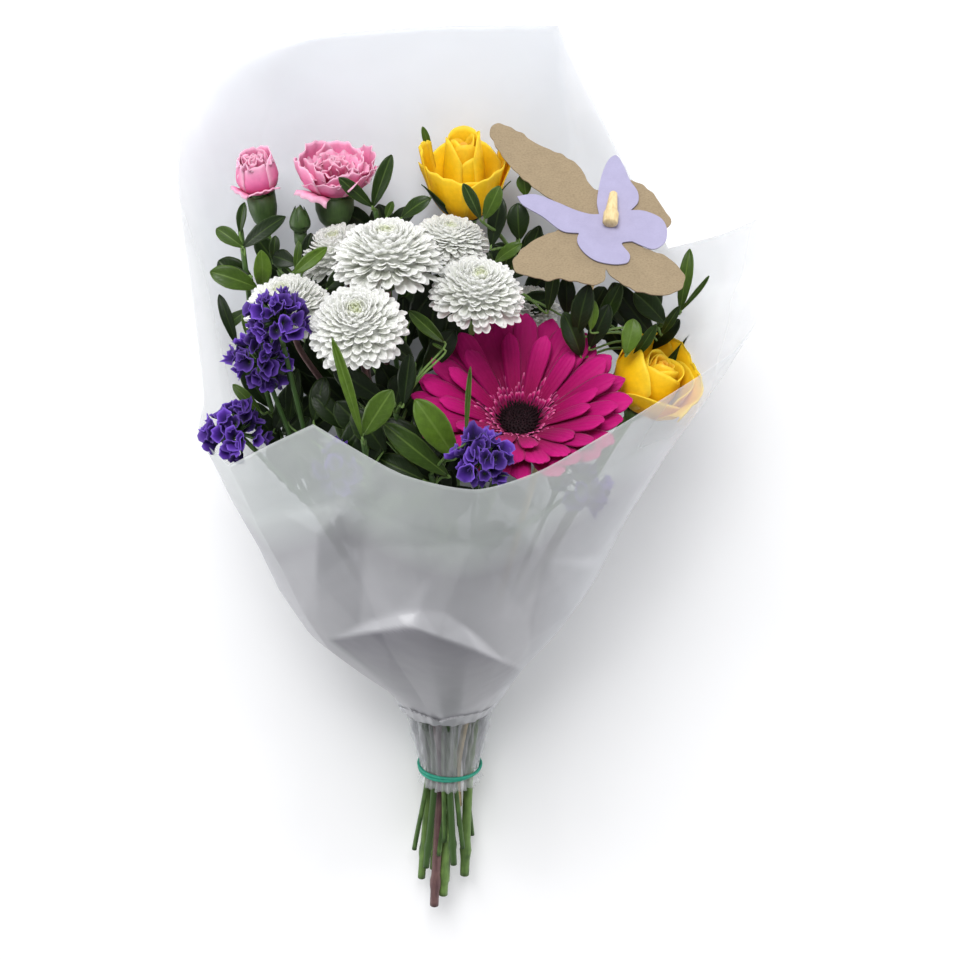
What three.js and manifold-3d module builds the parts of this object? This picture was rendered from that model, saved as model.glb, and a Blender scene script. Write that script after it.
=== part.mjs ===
// Mixed flower bouquet in a frosted film wrapper, tied below the film and lying on its back.
// Millimetres. +X is across the bouquet, +Y runs from the cut stems to the flower heads, +Z is up.
import * as THREE from "three";
import { ParametricGeometry } from "three/addons/geometries/ParametricGeometry.js";
import { mergeVertices } from "three/addons/utils/BufferGeometryUtils.js";
import Module from "manifold-3d";

// ---------------------------------------------------------------- driving dimensions
const GAP = 0.35; // clearance between neighbouring pieces

const TIE = new THREE.Vector3(-16, -184, 18); // middle of the tie
const BAND_RADIUS = 16.2; // middle line of the elastic band
const BAND_THICKNESS = 3;
const SLOT_PITCH = 5.5; // spacing of the stems where they pass through the tie

const FILM_WALL = 0.6;
const FILM_AROUND = 40; // facets round the wrapper
const FILM_CONE_STEPS = 8; // facets from the neck to the rim
const FILM_BULGE = 17; // how far the wrapper's front swells past a straight cone
const FILM_SIDES = [ // how far its sides do: [share of the way from neck to rim, left, right, low right]
  [0, 0, 0, 0], [0.08, -3, 0, 0], [0.16, -1, 0, 2], [0.25, 8, 4, 7], [0.35, 17, 5, 9], [0.5, 15.5, -1, 5],
  [0.65, 9.5, -4, 6], [0.8, 6.5, -5, 11], [0.9, 3, -4, 9], [1, 0, 0, 0],
];
const FILM_TUBE_RINGS = [ // [y, radius] of the gathered tube at the tie
  [-192, 15.2],
  [-186, 14.3],
  [-179, 15.0],
];
const FILM_NECK = { x: -17, y: -142, z: 23, halfWidth: 25, halfHeight: 27 };
// Flower-end edge of the film, from the right end of the back panel, up the right side,
// across the front and down the left side to the back panel again.
const FILM_RIM = [
  [36, 204, 0], [63, 151, 15], [87, 111, 45], [110, 127, 70], [131, 147, 95], [127, 115, 118],
  [109, 98, 140], [60, 70, 155], [26, 51, 160], [-2, 42, 160], [-34, 48, 157], [-72, 66, 145],
  [-92, 52, 135], [-112, 35, 120], [-129, 36, 88], [-130, 42, 55], [-135, 89, 40], [-140, 139, 30],
  [-138, 161, 25], [-133, 176, 17], [-122, 188, 10], [-104, 194, 4], [-69, 200, 0], [-14, 204, 0],
];

const GERBERA = { at: [18, 40.8, 87.4], facing: [0, 0.89, 0.45], radius: 47, cup: 24, petals: 24 };
const ROSES = {
  yellow_rose_top: { at: [-7, 138, 31], facing: [-0.03, 1, 0.05], radius: 19 },
  yellow_rose_right: { at: [79, 58, 69], facing: [0.38, 0.87, 0.28], radius: 17 },
};
const CARNATIONS = {
  pink_carnation_small: { at: [-102, 138, 34], facing: [-0.12, 0.98, 0.12], radius: 9.5 },
  pink_carnation_large: { at: [-67, 142, 36], facing: [0.02, 0.99, 0.12], radius: 17 },
  pink_carnation_bud: { at: [-83, 122, 42], facing: [0, 0.99, 0.12], radius: 5 },
};
const CHRYSANTHEMUMS = {
  white_chrysanthemum_1: { at: [-65, 111, 51], facing: [-0.25, 0.95, 0.15], radius: 17 },
  white_chrysanthemum_2: { at: [-41, 123, 90], facing: [0, 0.99, 0.09], radius: 22.5 },
  white_chrysanthemum_3: { at: [-12, 123, 60], facing: [0.15, 0.97, 0.1], radius: 16 },
  white_chrysanthemum_4: { at: [-1, 107, 95], facing: [0.1, 0.86, 0.5], radius: 20 },
  white_chrysanthemum_5: { at: [-53, 101, 123], facing: [-0.05, 0.86, 0.5], radius: 20.5 },
  white_chrysanthemum_6: { at: [-87, 96, 82], facing: [-0.2, 0.95, 0.2], radius: 18.5 },
  white_chrysanthemum_7: { at: [24, 78, 34], facing: [0.1, 0.97, 0.2], radius: 13 },
};
const STATICE = {
  statice_cluster_upper: { at: [-88, 104, 119], radius: 13, stem: "statice_left" },
  statice_cluster_middle: { at: [-97, 80, 108], radius: 13, stem: "statice_left" },
  statice_cluster_left: { at: [-110, 42, 99], radius: 14, stem: "statice_left" },
  statice_cluster_inner_left: { at: [-62, 32, 117], radius: 10, stem: "statice_left" },
  statice_cluster_front: { at: [1, 50, 146], radius: 12, stem: "statice_front" },
  statice_cluster_inner_right: { at: [46, 20, 114], radius: 10, stem: "statice_front" },
};
const STATICE_FLOWERS = 8; // funnel flowers on each cluster
const TWIG_RADIUS = 1.1; // statice twigs
const TWIG_REACH = 1.1; // share of a cluster's radius where its own stalk ends

// Stems: where each passes the tie as [ring, clock angle in degrees], its radius, its cut end as
// [sideways drift, y], and the points it bends through. Branched stems fork at the last of them.
const STEMS = {
  gerbera: { slot: [0, 0], radius: 2.5, end: [-4, -267], via: [[-8, -60, 46], [12, 12, 68]] },
  yellow_rose_top: { slot: [1, 270], radius: 2.5, end: [-3, -262], via: [[-14, -60, 16], [-8, 60, 22]] },
  yellow_rose_right: { slot: [2, 345], radius: 2.5, end: [-3, -256], via: [[14, -100, 29], [56, 0, 48]] },
  carnations: {
    slot: [2, 195], radius: 2.1, end: [-5, -258], via: [[-40, -90, 22], [-70, 20, 30]],
  },
  chrysanthemums_left: {
    slot: [1, 150], radius: 2.4, end: [-4, -272], via: [[-30, -90, 38], [-46, 10, 56]],
  },
  chrysanthemums_right: {
    slot: [1, 210], radius: 2.4, end: [-4, -252], via: [[-20, -80, 26], [-10, 20, 36]],
  },
  statice_left: { slot: [2, 135], radius: 1.8, end: [-5, -244], via: [[-40, -100, 52], [-72, -10, 84]] },
  statice_front: {
    slot: [2, 90], radius: 1.8, end: [2, -240], via: [[-15, -130, 46], [-6, -60, 82], [2, -10, 106]],
  },
};
const BRANCH_DETOURS = { // bends that keep a branch clear of the gerbera's petals
  white_chrysanthemum_4: [[-10, 74, 42], [-4, 92, 66]],
};
const LEAD_PAST_TIE = 22; // stems run this far straight on from the tie
const SPREAD_PAST_TIE = 0.12; // share of their sideways way that they make in it
const CUP_DEPTH = { gerbera: 8, rose: 7, carnation: 16, carnationBud: 10, chrysanthemum: 4 };
const STEM_SINK = 1.5; // how far a stem's tip reaches into its cup
const BRANCH_RADIUS = { carnation: 1.2, chrysanthemum: 1.4 };
const APPROACH = 10; // last stretch of stem, in line with the flower

const LEAF_THICKNESS = 0.8;
const LEAF_FACING = new THREE.Vector3(0, 0.42, 0.91); // leaves turn their faces this way
const LEAF_STALK_RADIUS = 0.75;
const LEAF_OUTLINE = [[0, 0.2], [0.25, 0.85], [0.55, 0.95], [1, 0.08]]; // [share of length, of half width]
// Sprigs of greenery: slot in the tie, stem bends, and leaves as [base, tip, width].
const SPRIGS = {
  greenery_left: {
    slot: [2.1, 165], radius: 1.5, end: [-8, -236],
    stem: [[-44, -100, 36], [-88, 0, 54], [-103, 60, 58], [-107, 100, 57], [-109, 124, 56]],
    leaves: [
      [[-109, 123, 57], [-106, 138, 60], 5], [[-108, 116, 58], [-89, 134, 66], 8],
      [[-108, 116, 58], [-120, 124, 54], 7], [[-105, 103, 60], [-116, 103, 52], 5],
      [[-102, 98, 62], [-122, 107, 66], 10], [[-100, 98, 62], [-98, 119, 70], 8],
      [[-108, 71, 60], [-119, 95, 60], 6], [[-101, 42, 70], [-114, 56, 72], 6],
    ],
  },
  greenery_under_carnations: {
    slot: [2, 225], radius: 1.5, end: [-2, -232],
    stem: [[-36, -90, 14], [-66, 20, 26], [-80, 80, 44], [-85, 104, 56]],
    leaves: [
      [[-85, 106, 62], [-70, 121, 72], 6], [[-84, 106, 58], [-96, 111, 54], 8],
      [[-81, 104, 50], [-76, 120, 50], 6], [[-80, 90, 48], [-62, 100, 50], 8],
    ],
  },
  greenery_top: {
    slot: [2, 255], radius: 1.5, end: [0, -240],
    stem: [[-24, -80, 10], [-40, 40, 20], [-44, 100, 34], [-48, 130, 46]],
    leaves: [
      [[-49, 132, 48], [-63, 147, 52], 6], [[-49, 132, 48], [-40, 157, 50], 7],
      [[-43, 124, 44], [-36, 133, 44], 5], [[-40, 118, 40], [-24, 136, 46], 7],
    ],
  },
  greenery_under_rose: {
    slot: [2, 285], radius: 1.5, end: [2, -230],
    stem: [[-6, -80, 9], [4, 40, 22], [12, 90, 40], [16, 110, 52]],
    leaves: [
      [[10, 118, 60], [-7, 153, 70], 7], [[12, 118, 60], [9, 151, 72], 7],
      [[18, 119, 54], [17, 134, 50], 10], [[21, 130, 44], [19, 144, 40], 7],
      [[16, 110, 56], [19, 126, 68], 7], [[27, 96, 56], [34, 112, 58], 8],
    ],
  },
  greenery_right: {
    slot: [2, 315], radius: 1.5, end: [4, -234],
    stem: [[10, -100, 21], [46, 0, 28], [67, 50, 40], [81, 76, 58], [91, 90, 71]],
    leaves: [
      [[91, 90, 72], [94, 120, 70], 6], [[91, 90, 72], [102, 110, 80], 3],
      [[84, 80, 66], [62, 99, 62], 11], [[88, 84, 66], [72, 100, 60], 10],
      [[76, 70, 66], [79, 86, 78], 6], [[70, 70, 60], [58, 92, 62], 10],
      [[66, 70, 56], [50, 88, 52], 9],
    ],
  },
  greenery_front_left: {
    slot: [2, 105], radius: 1.5, end: [0, -226],
    stem: [[-18, -130, 45], [-36, -60, 78], [-48, 10, 114], [-51, 54, 134]],
    leaves: [
      [[-51, 57, 136], [-60, 107, 138], 5], [[-51, 57, 136], [-38, 80, 140], 11],
      [[-52, 8, 118], [-36, 26, 124], 8], [[-60, 30, 112], [-84, 44, 108], 9],
    ],
  },
  greenery_front_centre: {
    slot: [2, 75], radius: 1.5, end: [4, -230],
    stem: [[-12, -130, 45], [-14, -60, 76], [-18, 0, 104], [-22, 30, 118]],
    leaves: [
      [[-16, 38, 126], [-29, 72, 134], 12], [[-20, 30, 122], [-42, 56, 126], 10],
      [[-24, 26, 116], [-46, 36, 112], 11], [[-10, 54, 140], [-5, 92, 146], 2.5],
    ],
  },
  greenery_middle: {
    slot: [1, 90], radius: 1.5, end: [-6, -238],
    stem: [[-20, -80, 50], [-32, 10, 80], [-38, 52, 100]],
    leaves: [
      [[-42, 62, 110], [-65, 78, 108], 11], [[-38, 58, 104], [-34, 72, 98], 9],
      [[-34, 62, 108], [-30, 86, 110], 8], [[-16, 84, 94], [-31, 99, 96], 6],
    ],
  },
};

const BUTTERFLY = { at: [57, 130, 70], facing: [0, 0.766, 0.643], card: 0.8, spacing: 1.3 };
// tilt is the room that the stick's square end takes, because the card leans against it.
const STICK = { slot: [1, 330], radius: 1.6, below: 28, tilt: 0.8 };
const PEG = { width: 7, tipWidth: 3.5, depth: 7, length: 17, place: [1, -2] };
// Card outlines as [x, y] on the card, measured from the stick.
const KRAFT_OUTLINE = [
  [-1, 18], [-7, 21], [-10, 28], [-19, 37.5], [-32, 44.5], [-45, 53], [-49, 54.5], [-52, 52.5], [-52, 49],
  [-45, 34], [-37, 24.5], [-26, 14.5], [-15.5, 9], [-8.5, 5], [-22.5, -2], [-33, -7.5], [-42, -18],
  [-41.5, -23], [-35, -26], [-28, -28], [-14.5, -28.5], [-5.5, -30], [-2.5, -29], [-1, -22.5], [2.5, -27],
  [9.5, -32], [24, -35.5], [34, -27], [31.5, -21.5], [16.5, -11.5], [13.5, -7.5], [27, -0.5], [29, 1.5],
  [25, 10.5], [16, 22], [11, 24], [4.5, 21],
];
const LILAC_OUTLINE = [
  [-40.5, 15], [-32.5, 16], [-22.5, 11.5], [-14, 7.5], [-7, 5.5], [-3.5, 5.5], [-4, 17], [-1.5, 28],
  [2, 35], [5, 36.5], [8, 32], [11, 23.5], [14, 17], [14, 11.5], [11, 7.5], [19, 6.5], [24.5, 3],
  [26.5, -2.5], [25.5, -9], [20.5, -13], [15.5, -11], [11, -8.5], [6.5, -9.5], [9.5, -16], [8.5, -19.5],
  [1.5, -20.5], [-6, -18.5], [-11.5, -13.5], [-13.5, -8], [-13, -4.5], [-20, -3.5], [-29, 4.5], [-38, 10.5],
];

// ---------------------------------------------------------------- materials
const matte = (color, roughness = 0.7) => new THREE.MeshStandardMaterial({ color, roughness, metalness: 0 });
const MATERIALS = {
  film: new THREE.MeshStandardMaterial({
    color: 0xdfe4ea, roughness: 0.35, metalness: 0, opacity: 0.5, transparent: true,
  }),
  elastic: matte(0x2f8f7c, 0.55),
  gerberaPetal: matte(0xb5127c),
  gerberaDisc: matte(0x2a0d18, 0.9),
  rosePetal: matte(0xf7c81e, 0.6),
  carnationPetal: matte(0xe9799f),
  chrysanthemumPetal: matte(0xf1f2ea),
  staticeFlower: matte(0x3f2488, 0.8),
  greenStem: matte(0x5c7f3a, 0.6),
  brownStem: matte(0x5a3a3c, 0.6),
  leaf: matte(0x44691f, 0.5),
  kraftCard: matte(0xbfa27c, 0.85),
  lilacCard: matte(0xcabfe6, 0.8),
  wood: matte(0xe0c9a0, 0.7),
};

// ---------------------------------------------------------------- solids
const wasm = await Module();
wasm.setup();

const bouquet = new THREE.Group();
bouquet.name = "mixed_flower_bouquet";
const placedSolids = []; // pieces already in place, each grown by GAP, that greenery is trimmed against

const vec = (p) => new THREE.Vector3(...p);

/** Merges a geometry's shared points, drops empty faces and turns the faces outwards. */
function closed(geometry) {
  const bare = new THREE.BufferGeometry();
  bare.setAttribute("position", geometry.getAttribute("position").clone());
  if (geometry.index) bare.setIndex(geometry.index.clone());
  const merged = mergeVertices(bare, 1e-3);
  const index = [...merged.index.array];
  const faces = [];
  for (let i = 0; i < index.length; i += 3) {
    const [a, b, c] = index.slice(i, i + 3);
    if (a !== b && b !== c && c !== a) faces.push([a, b, c]);
  }
  const position = merged.getAttribute("position");
  const corners = [new THREE.Vector3(), new THREE.Vector3(), new THREE.Vector3()];
  let volume = 0;
  for (const face of faces) {
    face.forEach((v, k) => corners[k].fromBufferAttribute(position, v));
    volume += corners[0].dot(corners[1].clone().cross(corners[2]));
  }
  if (volume < 0) faces.forEach((face) => face.reverse());
  merged.setIndex(faces.flat());
  return merged;
}

function toSolid(geometry) {
  const mesh = closed(geometry);
  return new wasm.Manifold(new wasm.Mesh({
    numProp: 3,
    vertProperties: new Float32Array(mesh.getAttribute("position").array),
    triVerts: new Uint32Array(mesh.index.array),
  }));
}

function toGeometry(solid) {
  const mesh = solid.getMesh();
  const geometry = new THREE.BufferGeometry();
  geometry.setAttribute("position", new THREE.BufferAttribute(new Float32Array(mesh.vertProperties), 3));
  geometry.setIndex([...mesh.triVerts]);
  return geometry;
}

function join(geometries) {
  return geometries.map(toSolid).reduce((whole, piece) => whole.add(piece));
}

/** Keeps only the largest connected piece of a cut solid. */
function largestPiece(geometry) {
  const index = geometry.index.array;
  const owner = Array.from({ length: geometry.getAttribute("position").count }, (_, i) => i);
  const root = (i) => {
    while (owner[i] !== i) i = owner[i] = owner[owner[i]];
    return i;
  };
  for (let i = 0; i < index.length; i += 3) {
    owner[root(index[i])] = root(index[i + 1]);
    owner[root(index[i + 1])] = root(index[i + 2]);
  }
  const pieces = new Map();
  for (let i = 0; i < index.length; i += 3) {
    const key = root(index[i]);
    if (!pieces.has(key)) pieces.set(key, []);
    pieces.get(key).push(index[i], index[i + 1], index[i + 2]);
  }
  const kept = geometry.clone();
  kept.setIndex([...pieces.values()].sort((a, b) => b.length - a.length)[0]);
  return kept;
}

function boxesMeet(a, b) {
  const [p, q] = [a.boundingBox(), b.boundingBox()];
  return [0, 1, 2].every((k) => p.min[k] <= q.max[k] && q.min[k] <= p.max[k]);
}

/** Adds one named piece, and remembers the room it takes. build(grow) makes its geometry. */
function addPiece(name, material, build) {
  const mesh = new THREE.Mesh(closed(build(0)), MATERIALS[material]);
  mesh.name = name;
  bouquet.add(mesh);
  placedSolids.push(toSolid(build(GAP)));
}

/** Adds a piece after trimming it against everything already in place. */
function addTrimmedPiece(name, material, build) {
  let solid = toSolid(build(0));
  for (const other of placedSolids) {
    if (boxesMeet(solid, other)) solid = solid.subtract(other);
  }
  const mesh = new THREE.Mesh(closed(largestPiece(toGeometry(solid))), MATERIALS[material]);
  mesh.name = name;
  bouquet.add(mesh);
  placedSolids.push(toSolid(build(GAP)));
}

/** A round rod along a smooth curve, with a facet about every stepLength. */
function rod(points, radius, sides = 6, stepLength = 26) {
  const path = new THREE.CatmullRomCurve3(points.map(vec), false, "centripetal");
  const corners = Array.from({ length: sides }, (_, i) => {
    const angle = (2 * Math.PI * i) / sides;
    return new THREE.Vector2(radius * Math.cos(angle), radius * Math.sin(angle));
  });
  const steps = Math.max(1, Math.round(path.getLength() / stepLength));
  const section = new THREE.Shape(corners);
  return new THREE.ExtrudeGeometry(section, { extrudePath: path, steps, bevelEnabled: false });
}

/** A turned shape about +Z from a profile of [radius, height], moved to a place and facing. */
function turned(profile, sides, at, facing) {
  const outline = profile.map(([r, h]) => new THREE.Vector2(r, h));
  const geometry = new THREE.LatheGeometry(outline, sides).rotateX(Math.PI / 2);
  return faced(geometry, at, facing);
}

/** Turns a shape made about +Z to face a way, and moves it to its place. */
function faced(geometry, at, facing) {
  const turn = new THREE.Quaternion().setFromUnitVectors(new THREE.Vector3(0, 0, 1), vec(facing).normalize());
  return geometry.applyQuaternion(turn).translate(...at);
}

const scaled = (profile, size) => profile.map(([r, h]) => [r * size, h * size]);
const along = (at, facing, distance) => vec(at).addScaledVector(vec(facing).normalize(), distance).toArray();

// ---------------------------------------------------------------- wrapper and tie
const rimCurve = new THREE.CatmullRomCurve3(FILM_RIM.map(vec), true, "catmullrom", 0.35);

/** How far a side of the film swells, read from FILM_SIDES at its column. */
function sideSwell(share, column) {
  const next = Math.max(1, FILM_SIDES.findIndex(([at]) => at >= share - 1e-9));
  const [before, after] = [FILM_SIDES[next - 1], FILM_SIDES[next]];
  return THREE.MathUtils.mapLinear(share, before[0], after[0], before[column], after[column]);
}

/** Outer face of the film: turn is 0 to 1 round it, ring counts from the tied end to the rim. */
function filmOuter(turn, ring) {
  const around = ((turn % 1) + 1) % 1;
  const angle = THREE.MathUtils.degToRad(-62) + 2 * Math.PI * around;
  if (ring < FILM_TUBE_RINGS.length) {
    const [y, radius] = FILM_TUBE_RINGS[ring];
    return new THREE.Vector3(TIE.x + radius * Math.cos(angle), y, TIE.z + radius * Math.sin(angle));
  }
  const share = (ring - FILM_TUBE_RINGS.length) / FILM_CONE_STEPS;
  const neck = new THREE.Vector3(
    FILM_NECK.x + FILM_NECK.halfWidth * Math.cos(angle),
    FILM_NECK.y,
    FILM_NECK.z + FILM_NECK.halfHeight * Math.sin(angle),
  );
  const point = neck.lerp(rimCurve.getPoint(around), share);
  const bulge = FILM_BULGE * Math.sin(Math.PI * share ** 0.8);
  const [side, front] = [Math.cos(angle), Math.sin(angle)];
  const raised = THREE.MathUtils.smoothstep(front, 0.02, 0.36);
  const swell = side < 0 ? sideSwell(share, 1)
    : THREE.MathUtils.lerp(sideSwell(share, 3), sideSwell(share, 2), raised);
  point.x += swell * side;
  point.z = Math.max(0, point.z + bulge * front);
  return point;
}

function filmNormal(turn, ring) {
  const last = FILM_TUBE_RINGS.length + FILM_CONE_STEPS;
  const step = 0.5 / FILM_AROUND;
  const across = filmOuter(turn + step, ring).sub(filmOuter(turn - step, ring));
  const upwards = filmOuter(turn, Math.min(last, ring + 1)).sub(filmOuter(turn, Math.max(0, ring - 1)));
  return upwards.cross(across).normalize();
}

function filmWrapper(grow) {
  const last = FILM_TUBE_RINGS.length + FILM_CONE_STEPS;
  const section = 2 * (last + 1);
  const place = (u, v, target) => {
    const stop = Math.round(v * section) % section;
    const outside = stop <= last;
    const ring = outside ? stop : section - 1 - stop;
    const offset = outside ? grow : -FILM_WALL - grow;
    target.copy(filmOuter(u, ring)).addScaledVector(filmNormal(u, ring), offset);
    if (outside && grow === 0) target.z = Math.max(0, target.z);
  };
  return new ParametricGeometry(place, FILM_AROUND, section);
}

function elasticTie(grow) {
  return new THREE.TorusGeometry(BAND_RADIUS, BAND_THICKNESS / 2 + grow, 6, 24)
    .rotateX(Math.PI / 2)
    .translate(TIE.x, TIE.y, TIE.z);
}

addPiece("wrapper_film", "film", filmWrapper);
addPiece("elastic_tie", "elastic", elasticTie);

// ---------------------------------------------------------------- stems
function slotPoint([ring, clock]) {
  const angle = THREE.MathUtils.degToRad(clock);
  const radius = ring * SLOT_PITCH;
  return [TIE.x + radius * Math.cos(angle), TIE.y, TIE.z + radius * Math.sin(angle)];
}

/** Points of a stem from its cut end through the tie and its bends to its tip. */
function stemRoute(stem, rest) {
  const [x, y, z] = slotPoint(stem.slot);
  const [drift, endY] = stem.end;
  const [nextX, , nextZ] = rest[0];
  const lead = [x + SPREAD_PAST_TIE * (nextX - x), y + LEAD_PAST_TIE, z + SPREAD_PAST_TIE * (nextZ - z)];
  return [[x + drift, endY, z], [x, y, z], lead, ...rest];
}

/** A cup that carries a flower: it starts at the stem and ends GAP short of the bloom. */
function cup(head, backHeight, topRadius, depth, grow) {
  const top = -backHeight - GAP;
  const foot = top - depth;
  const profile = [[0, foot], [0.45 * topRadius + grow, foot], [topRadius + grow, top], [0, top]];
  return turned(profile, 8, head.at, head.facing);
}

/** The last stretch of stem, coming up to a flower along the way it faces. */
function approach(head, depth) {
  return [along(head.at, head.facing, -depth - APPROACH), along(head.at, head.facing, -depth)];
}

/** One stem with one flower on it. */
function singleStem(stem, head, backHeight, topRadius, cupDepth, grow) {
  const tip = backHeight + GAP + cupDepth - STEM_SINK;
  return toGeometry(join([
    rod(stemRoute(stem, [...stem.via, ...approach(head, tip)]), stem.radius + grow),
    cup(head, backHeight, topRadius, cupDepth, grow),
  ]));
}

/** A stem that forks at its last bend into one branch for each flower. */
function spray({ stem, heads, branchRadius, cupOf }, grow) {
  const fork = stem.via.at(-1);
  const twigs = heads.flatMap((head) => {
    const { back, top, depth } = cupOf(head);
    const route = [fork, ...(head.detour ?? []), ...approach(head, back + GAP + depth - STEM_SINK)];
    return [rod(route, branchRadius + grow, 5), cup(head, back, top, depth, grow)];
  });
  return toGeometry(join([rod(stemRoute(stem, stem.via), stem.radius + grow), ...twigs]));
}

// ---------------------------------------------------------------- flower heads
function gerberaPetals(grow) {
  const { radius, cup: rise, petals } = GERBERA;
  const rings = [0.16, 0.55, 1];
  const thickness = 1.2;
  const section = 2 * rings.length;
  const around = petals * 2;
  const geometry = new ParametricGeometry((u, v, target) => {
    const stop = Math.round(v * section) % section;
    const front = stop < rings.length;
    const share = rings[front ? stop : section - 1 - stop];
    const notch = share === 1 ? 0.9 + 0.1 * Math.abs(Math.cos(Math.PI * petals * u)) : 1;
    const reach = radius * share * notch + (share === 1 ? grow : -grow);
    const height = rise * share ** 1.5 + (front ? thickness / 2 + grow : -thickness / 2 - grow);
    target.set(reach * Math.cos(2 * Math.PI * u), reach * Math.sin(2 * Math.PI * u), height);
  }, around, section);
  return faced(geometry, GERBERA.at, GERBERA.facing);
}

const GERBERA_DISC = [[0, -1], [6, -1], [6.4, 2], [13, 4.6], [11, 6.4], [5, 7.4], [0, 6.6]];
const GERBERA_BACK = 1 + GAP; // depth of the flower behind its middle
const GERBERA_CUP_RADIUS = 7;
const CHRYSANTHEMUM = [
  [0, -0.5], [0.5, -0.46], [0.86, -0.22], [1, 0.1], [0.88, 0.4], [0.55, 0.6], [0, 0.66],
];
const ROSE = [
  [0, -0.9], [0.4, -0.9], [0.85, -0.45], [1, 0], [0.98, 0.6], [0.62, 0.62], [0.56, 1], [0.34, 1.25], [0, 1.3],
];
const CARNATION = [[0, -0.35], [0.3, -0.35], [0.72, 0], [1, 0.4], [0.86, 0.66], [0.45, 0.8], [0, 0.74]];
const CARNATION_CUP = [[0, -0.35], [0.3, -0.35], [0.8, 0], [1, 0.6], [0.96, 1.2], [0.7, 1.7], [0, 1.6]];
const BUD = [[0, -0.7], [0.55, -0.7], [1, 0], [0.7, 1], [0.2, 1.5], [0, 1.5]];

function bloom(profile, sides, head, grow) {
  return turned(scaled(profile, head.radius + 2 * grow), sides, head.at, head.facing);
}

addPiece("gerbera_petals", "gerberaPetal", gerberaPetals);
addPiece("gerbera_disc", "gerberaDisc", (grow) => {
  const profile = GERBERA_DISC.map(([r, h]) => [r === 0 ? 0 : r + grow, h]);
  return turned(profile, 16, GERBERA.at, GERBERA.facing);
});
addPiece("gerbera_stem", "greenStem", (grow) =>
  singleStem(STEMS.gerbera, GERBERA, GERBERA_BACK, GERBERA_CUP_RADIUS, CUP_DEPTH.gerbera, grow));

for (const [name, head] of Object.entries(ROSES)) {
  addPiece(`${name}_bloom`, "rosePetal", (grow) => bloom(ROSE, 14, head, grow));
  addPiece(`${name}_stem`, "greenStem", (grow) =>
    singleStem(STEMS[name], head, 0.9 * head.radius, 0.38 * head.radius, CUP_DEPTH.rose, grow));
}

for (const [name, head] of Object.entries(CARNATIONS)) {
  const profile = name.endsWith("bud") ? BUD : name.endsWith("small") ? CARNATION_CUP : CARNATION;
  addPiece(name, "carnationPetal", (grow) => bloom(profile, 12, head, grow));
}
const carnationCup = (head) => {
  const bud = head === CARNATIONS.pink_carnation_bud;
  const top = bud ? 0.52 * head.radius : 0.36 * head.radius + 2;
  return { back: (bud ? 0.7 : 0.35) * head.radius, top, depth: CUP_DEPTH[bud ? "carnationBud" : "carnation"] };
};
const carnationSpray = {
  stem: STEMS.carnations,
  heads: Object.values(CARNATIONS),
  branchRadius: BRANCH_RADIUS.carnation,
  cupOf: carnationCup,
};
addPiece("carnation_stem", "greenStem", (grow) => spray(carnationSpray, grow));

for (const [name, head] of Object.entries(CHRYSANTHEMUMS)) {
  addPiece(name, "chrysanthemumPetal", (grow) => bloom(CHRYSANTHEMUM, 12, head, grow));
}
/** A chrysanthemum stem with its numbered flowers. */
function chrysanthemumSpray(stem, numbers) {
  const heads = numbers.map((n) => {
    const name = `white_chrysanthemum_${n}`;
    return { ...CHRYSANTHEMUMS[name], detour: BRANCH_DETOURS[name] };
  });
  const depth = CUP_DEPTH.chrysanthemum;
  const cupOf = ({ radius }) => ({ back: 0.5 * radius, top: 0.3 * radius, depth });
  return { stem, heads, branchRadius: BRANCH_RADIUS.chrysanthemum, cupOf };
}
const leftSpray = chrysanthemumSpray(STEMS.chrysanthemums_left, [1, 2, 5, 6]);
const rightSpray = chrysanthemumSpray(STEMS.chrysanthemums_right, [3, 4, 7]);
addPiece("chrysanthemum_stem_left", "brownStem", (grow) => spray(leftSpray, grow));
addPiece("chrysanthemum_stem_right", "greenStem", (grow) => spray(rightSpray, grow));

// ---------------------------------------------------------------- statice
/** Evenly spread directions over a ball. */
function spread(count) {
  const golden = Math.PI * (3 - Math.sqrt(5));
  return Array.from({ length: count }, (_, i) => {
    const height = 1 - (2 * (i + 0.5)) / count;
    const reach = Math.sqrt(1 - height * height);
    return [reach * Math.cos(golden * i), reach * Math.sin(golden * i), height];
  });
}

/** Where a cluster's own stalk ends, on the way to the fork of its stem, and the twig's tip past it. */
function staticeJoint({ at, radius, stem }) {
  const way = vec(STEMS[stem].via.at(-1)).sub(vec(at)).normalize().toArray();
  const reach = TWIG_REACH * radius;
  return { stalkEnd: along(at, way, reach), twigTip: along(at, way, reach + GAP) };
}

function staticeCluster(head, grow) {
  const { radius } = head;
  const flower = [[0, 0], [0.1 * radius, 0], [0.3 * radius + grow, radius + grow], [0, 0.86 * radius + grow]];
  const core = new THREE.IcosahedronGeometry(0.6 * radius + grow, 0).translate(...head.at);
  const stalk = rod([head.at, staticeJoint(head).stalkEnd], TWIG_RADIUS + grow, 5);
  const flowers = spread(STATICE_FLOWERS).map((facing) => turned(flower, 4, head.at, facing));
  return toGeometry(join([core, stalk, ...flowers]));
}

for (const [name, head] of Object.entries(STATICE)) {
  addPiece(name, "staticeFlower", (grow) => staticeCluster(head, grow));
}

/** A bare stem whose twigs end just short of each of its clusters. */
function staticeStem(name, grow) {
  const stem = STEMS[name];
  const fork = stem.via.at(-1);
  const clusters = Object.values(STATICE).filter((head) => head.stem === name);
  const twigs = clusters.map((head) => rod([fork, staticeJoint(head).twigTip], TWIG_RADIUS + grow, 5, 60));
  return toGeometry(join([rod(stemRoute(stem, stem.via), stem.radius + grow), ...twigs]));
}

addPiece("statice_stem_left", "greenStem", (grow) => staticeStem("statice_left", grow));
addPiece("statice_stem_front", "greenStem", (grow) => staticeStem("statice_front", grow));

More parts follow.
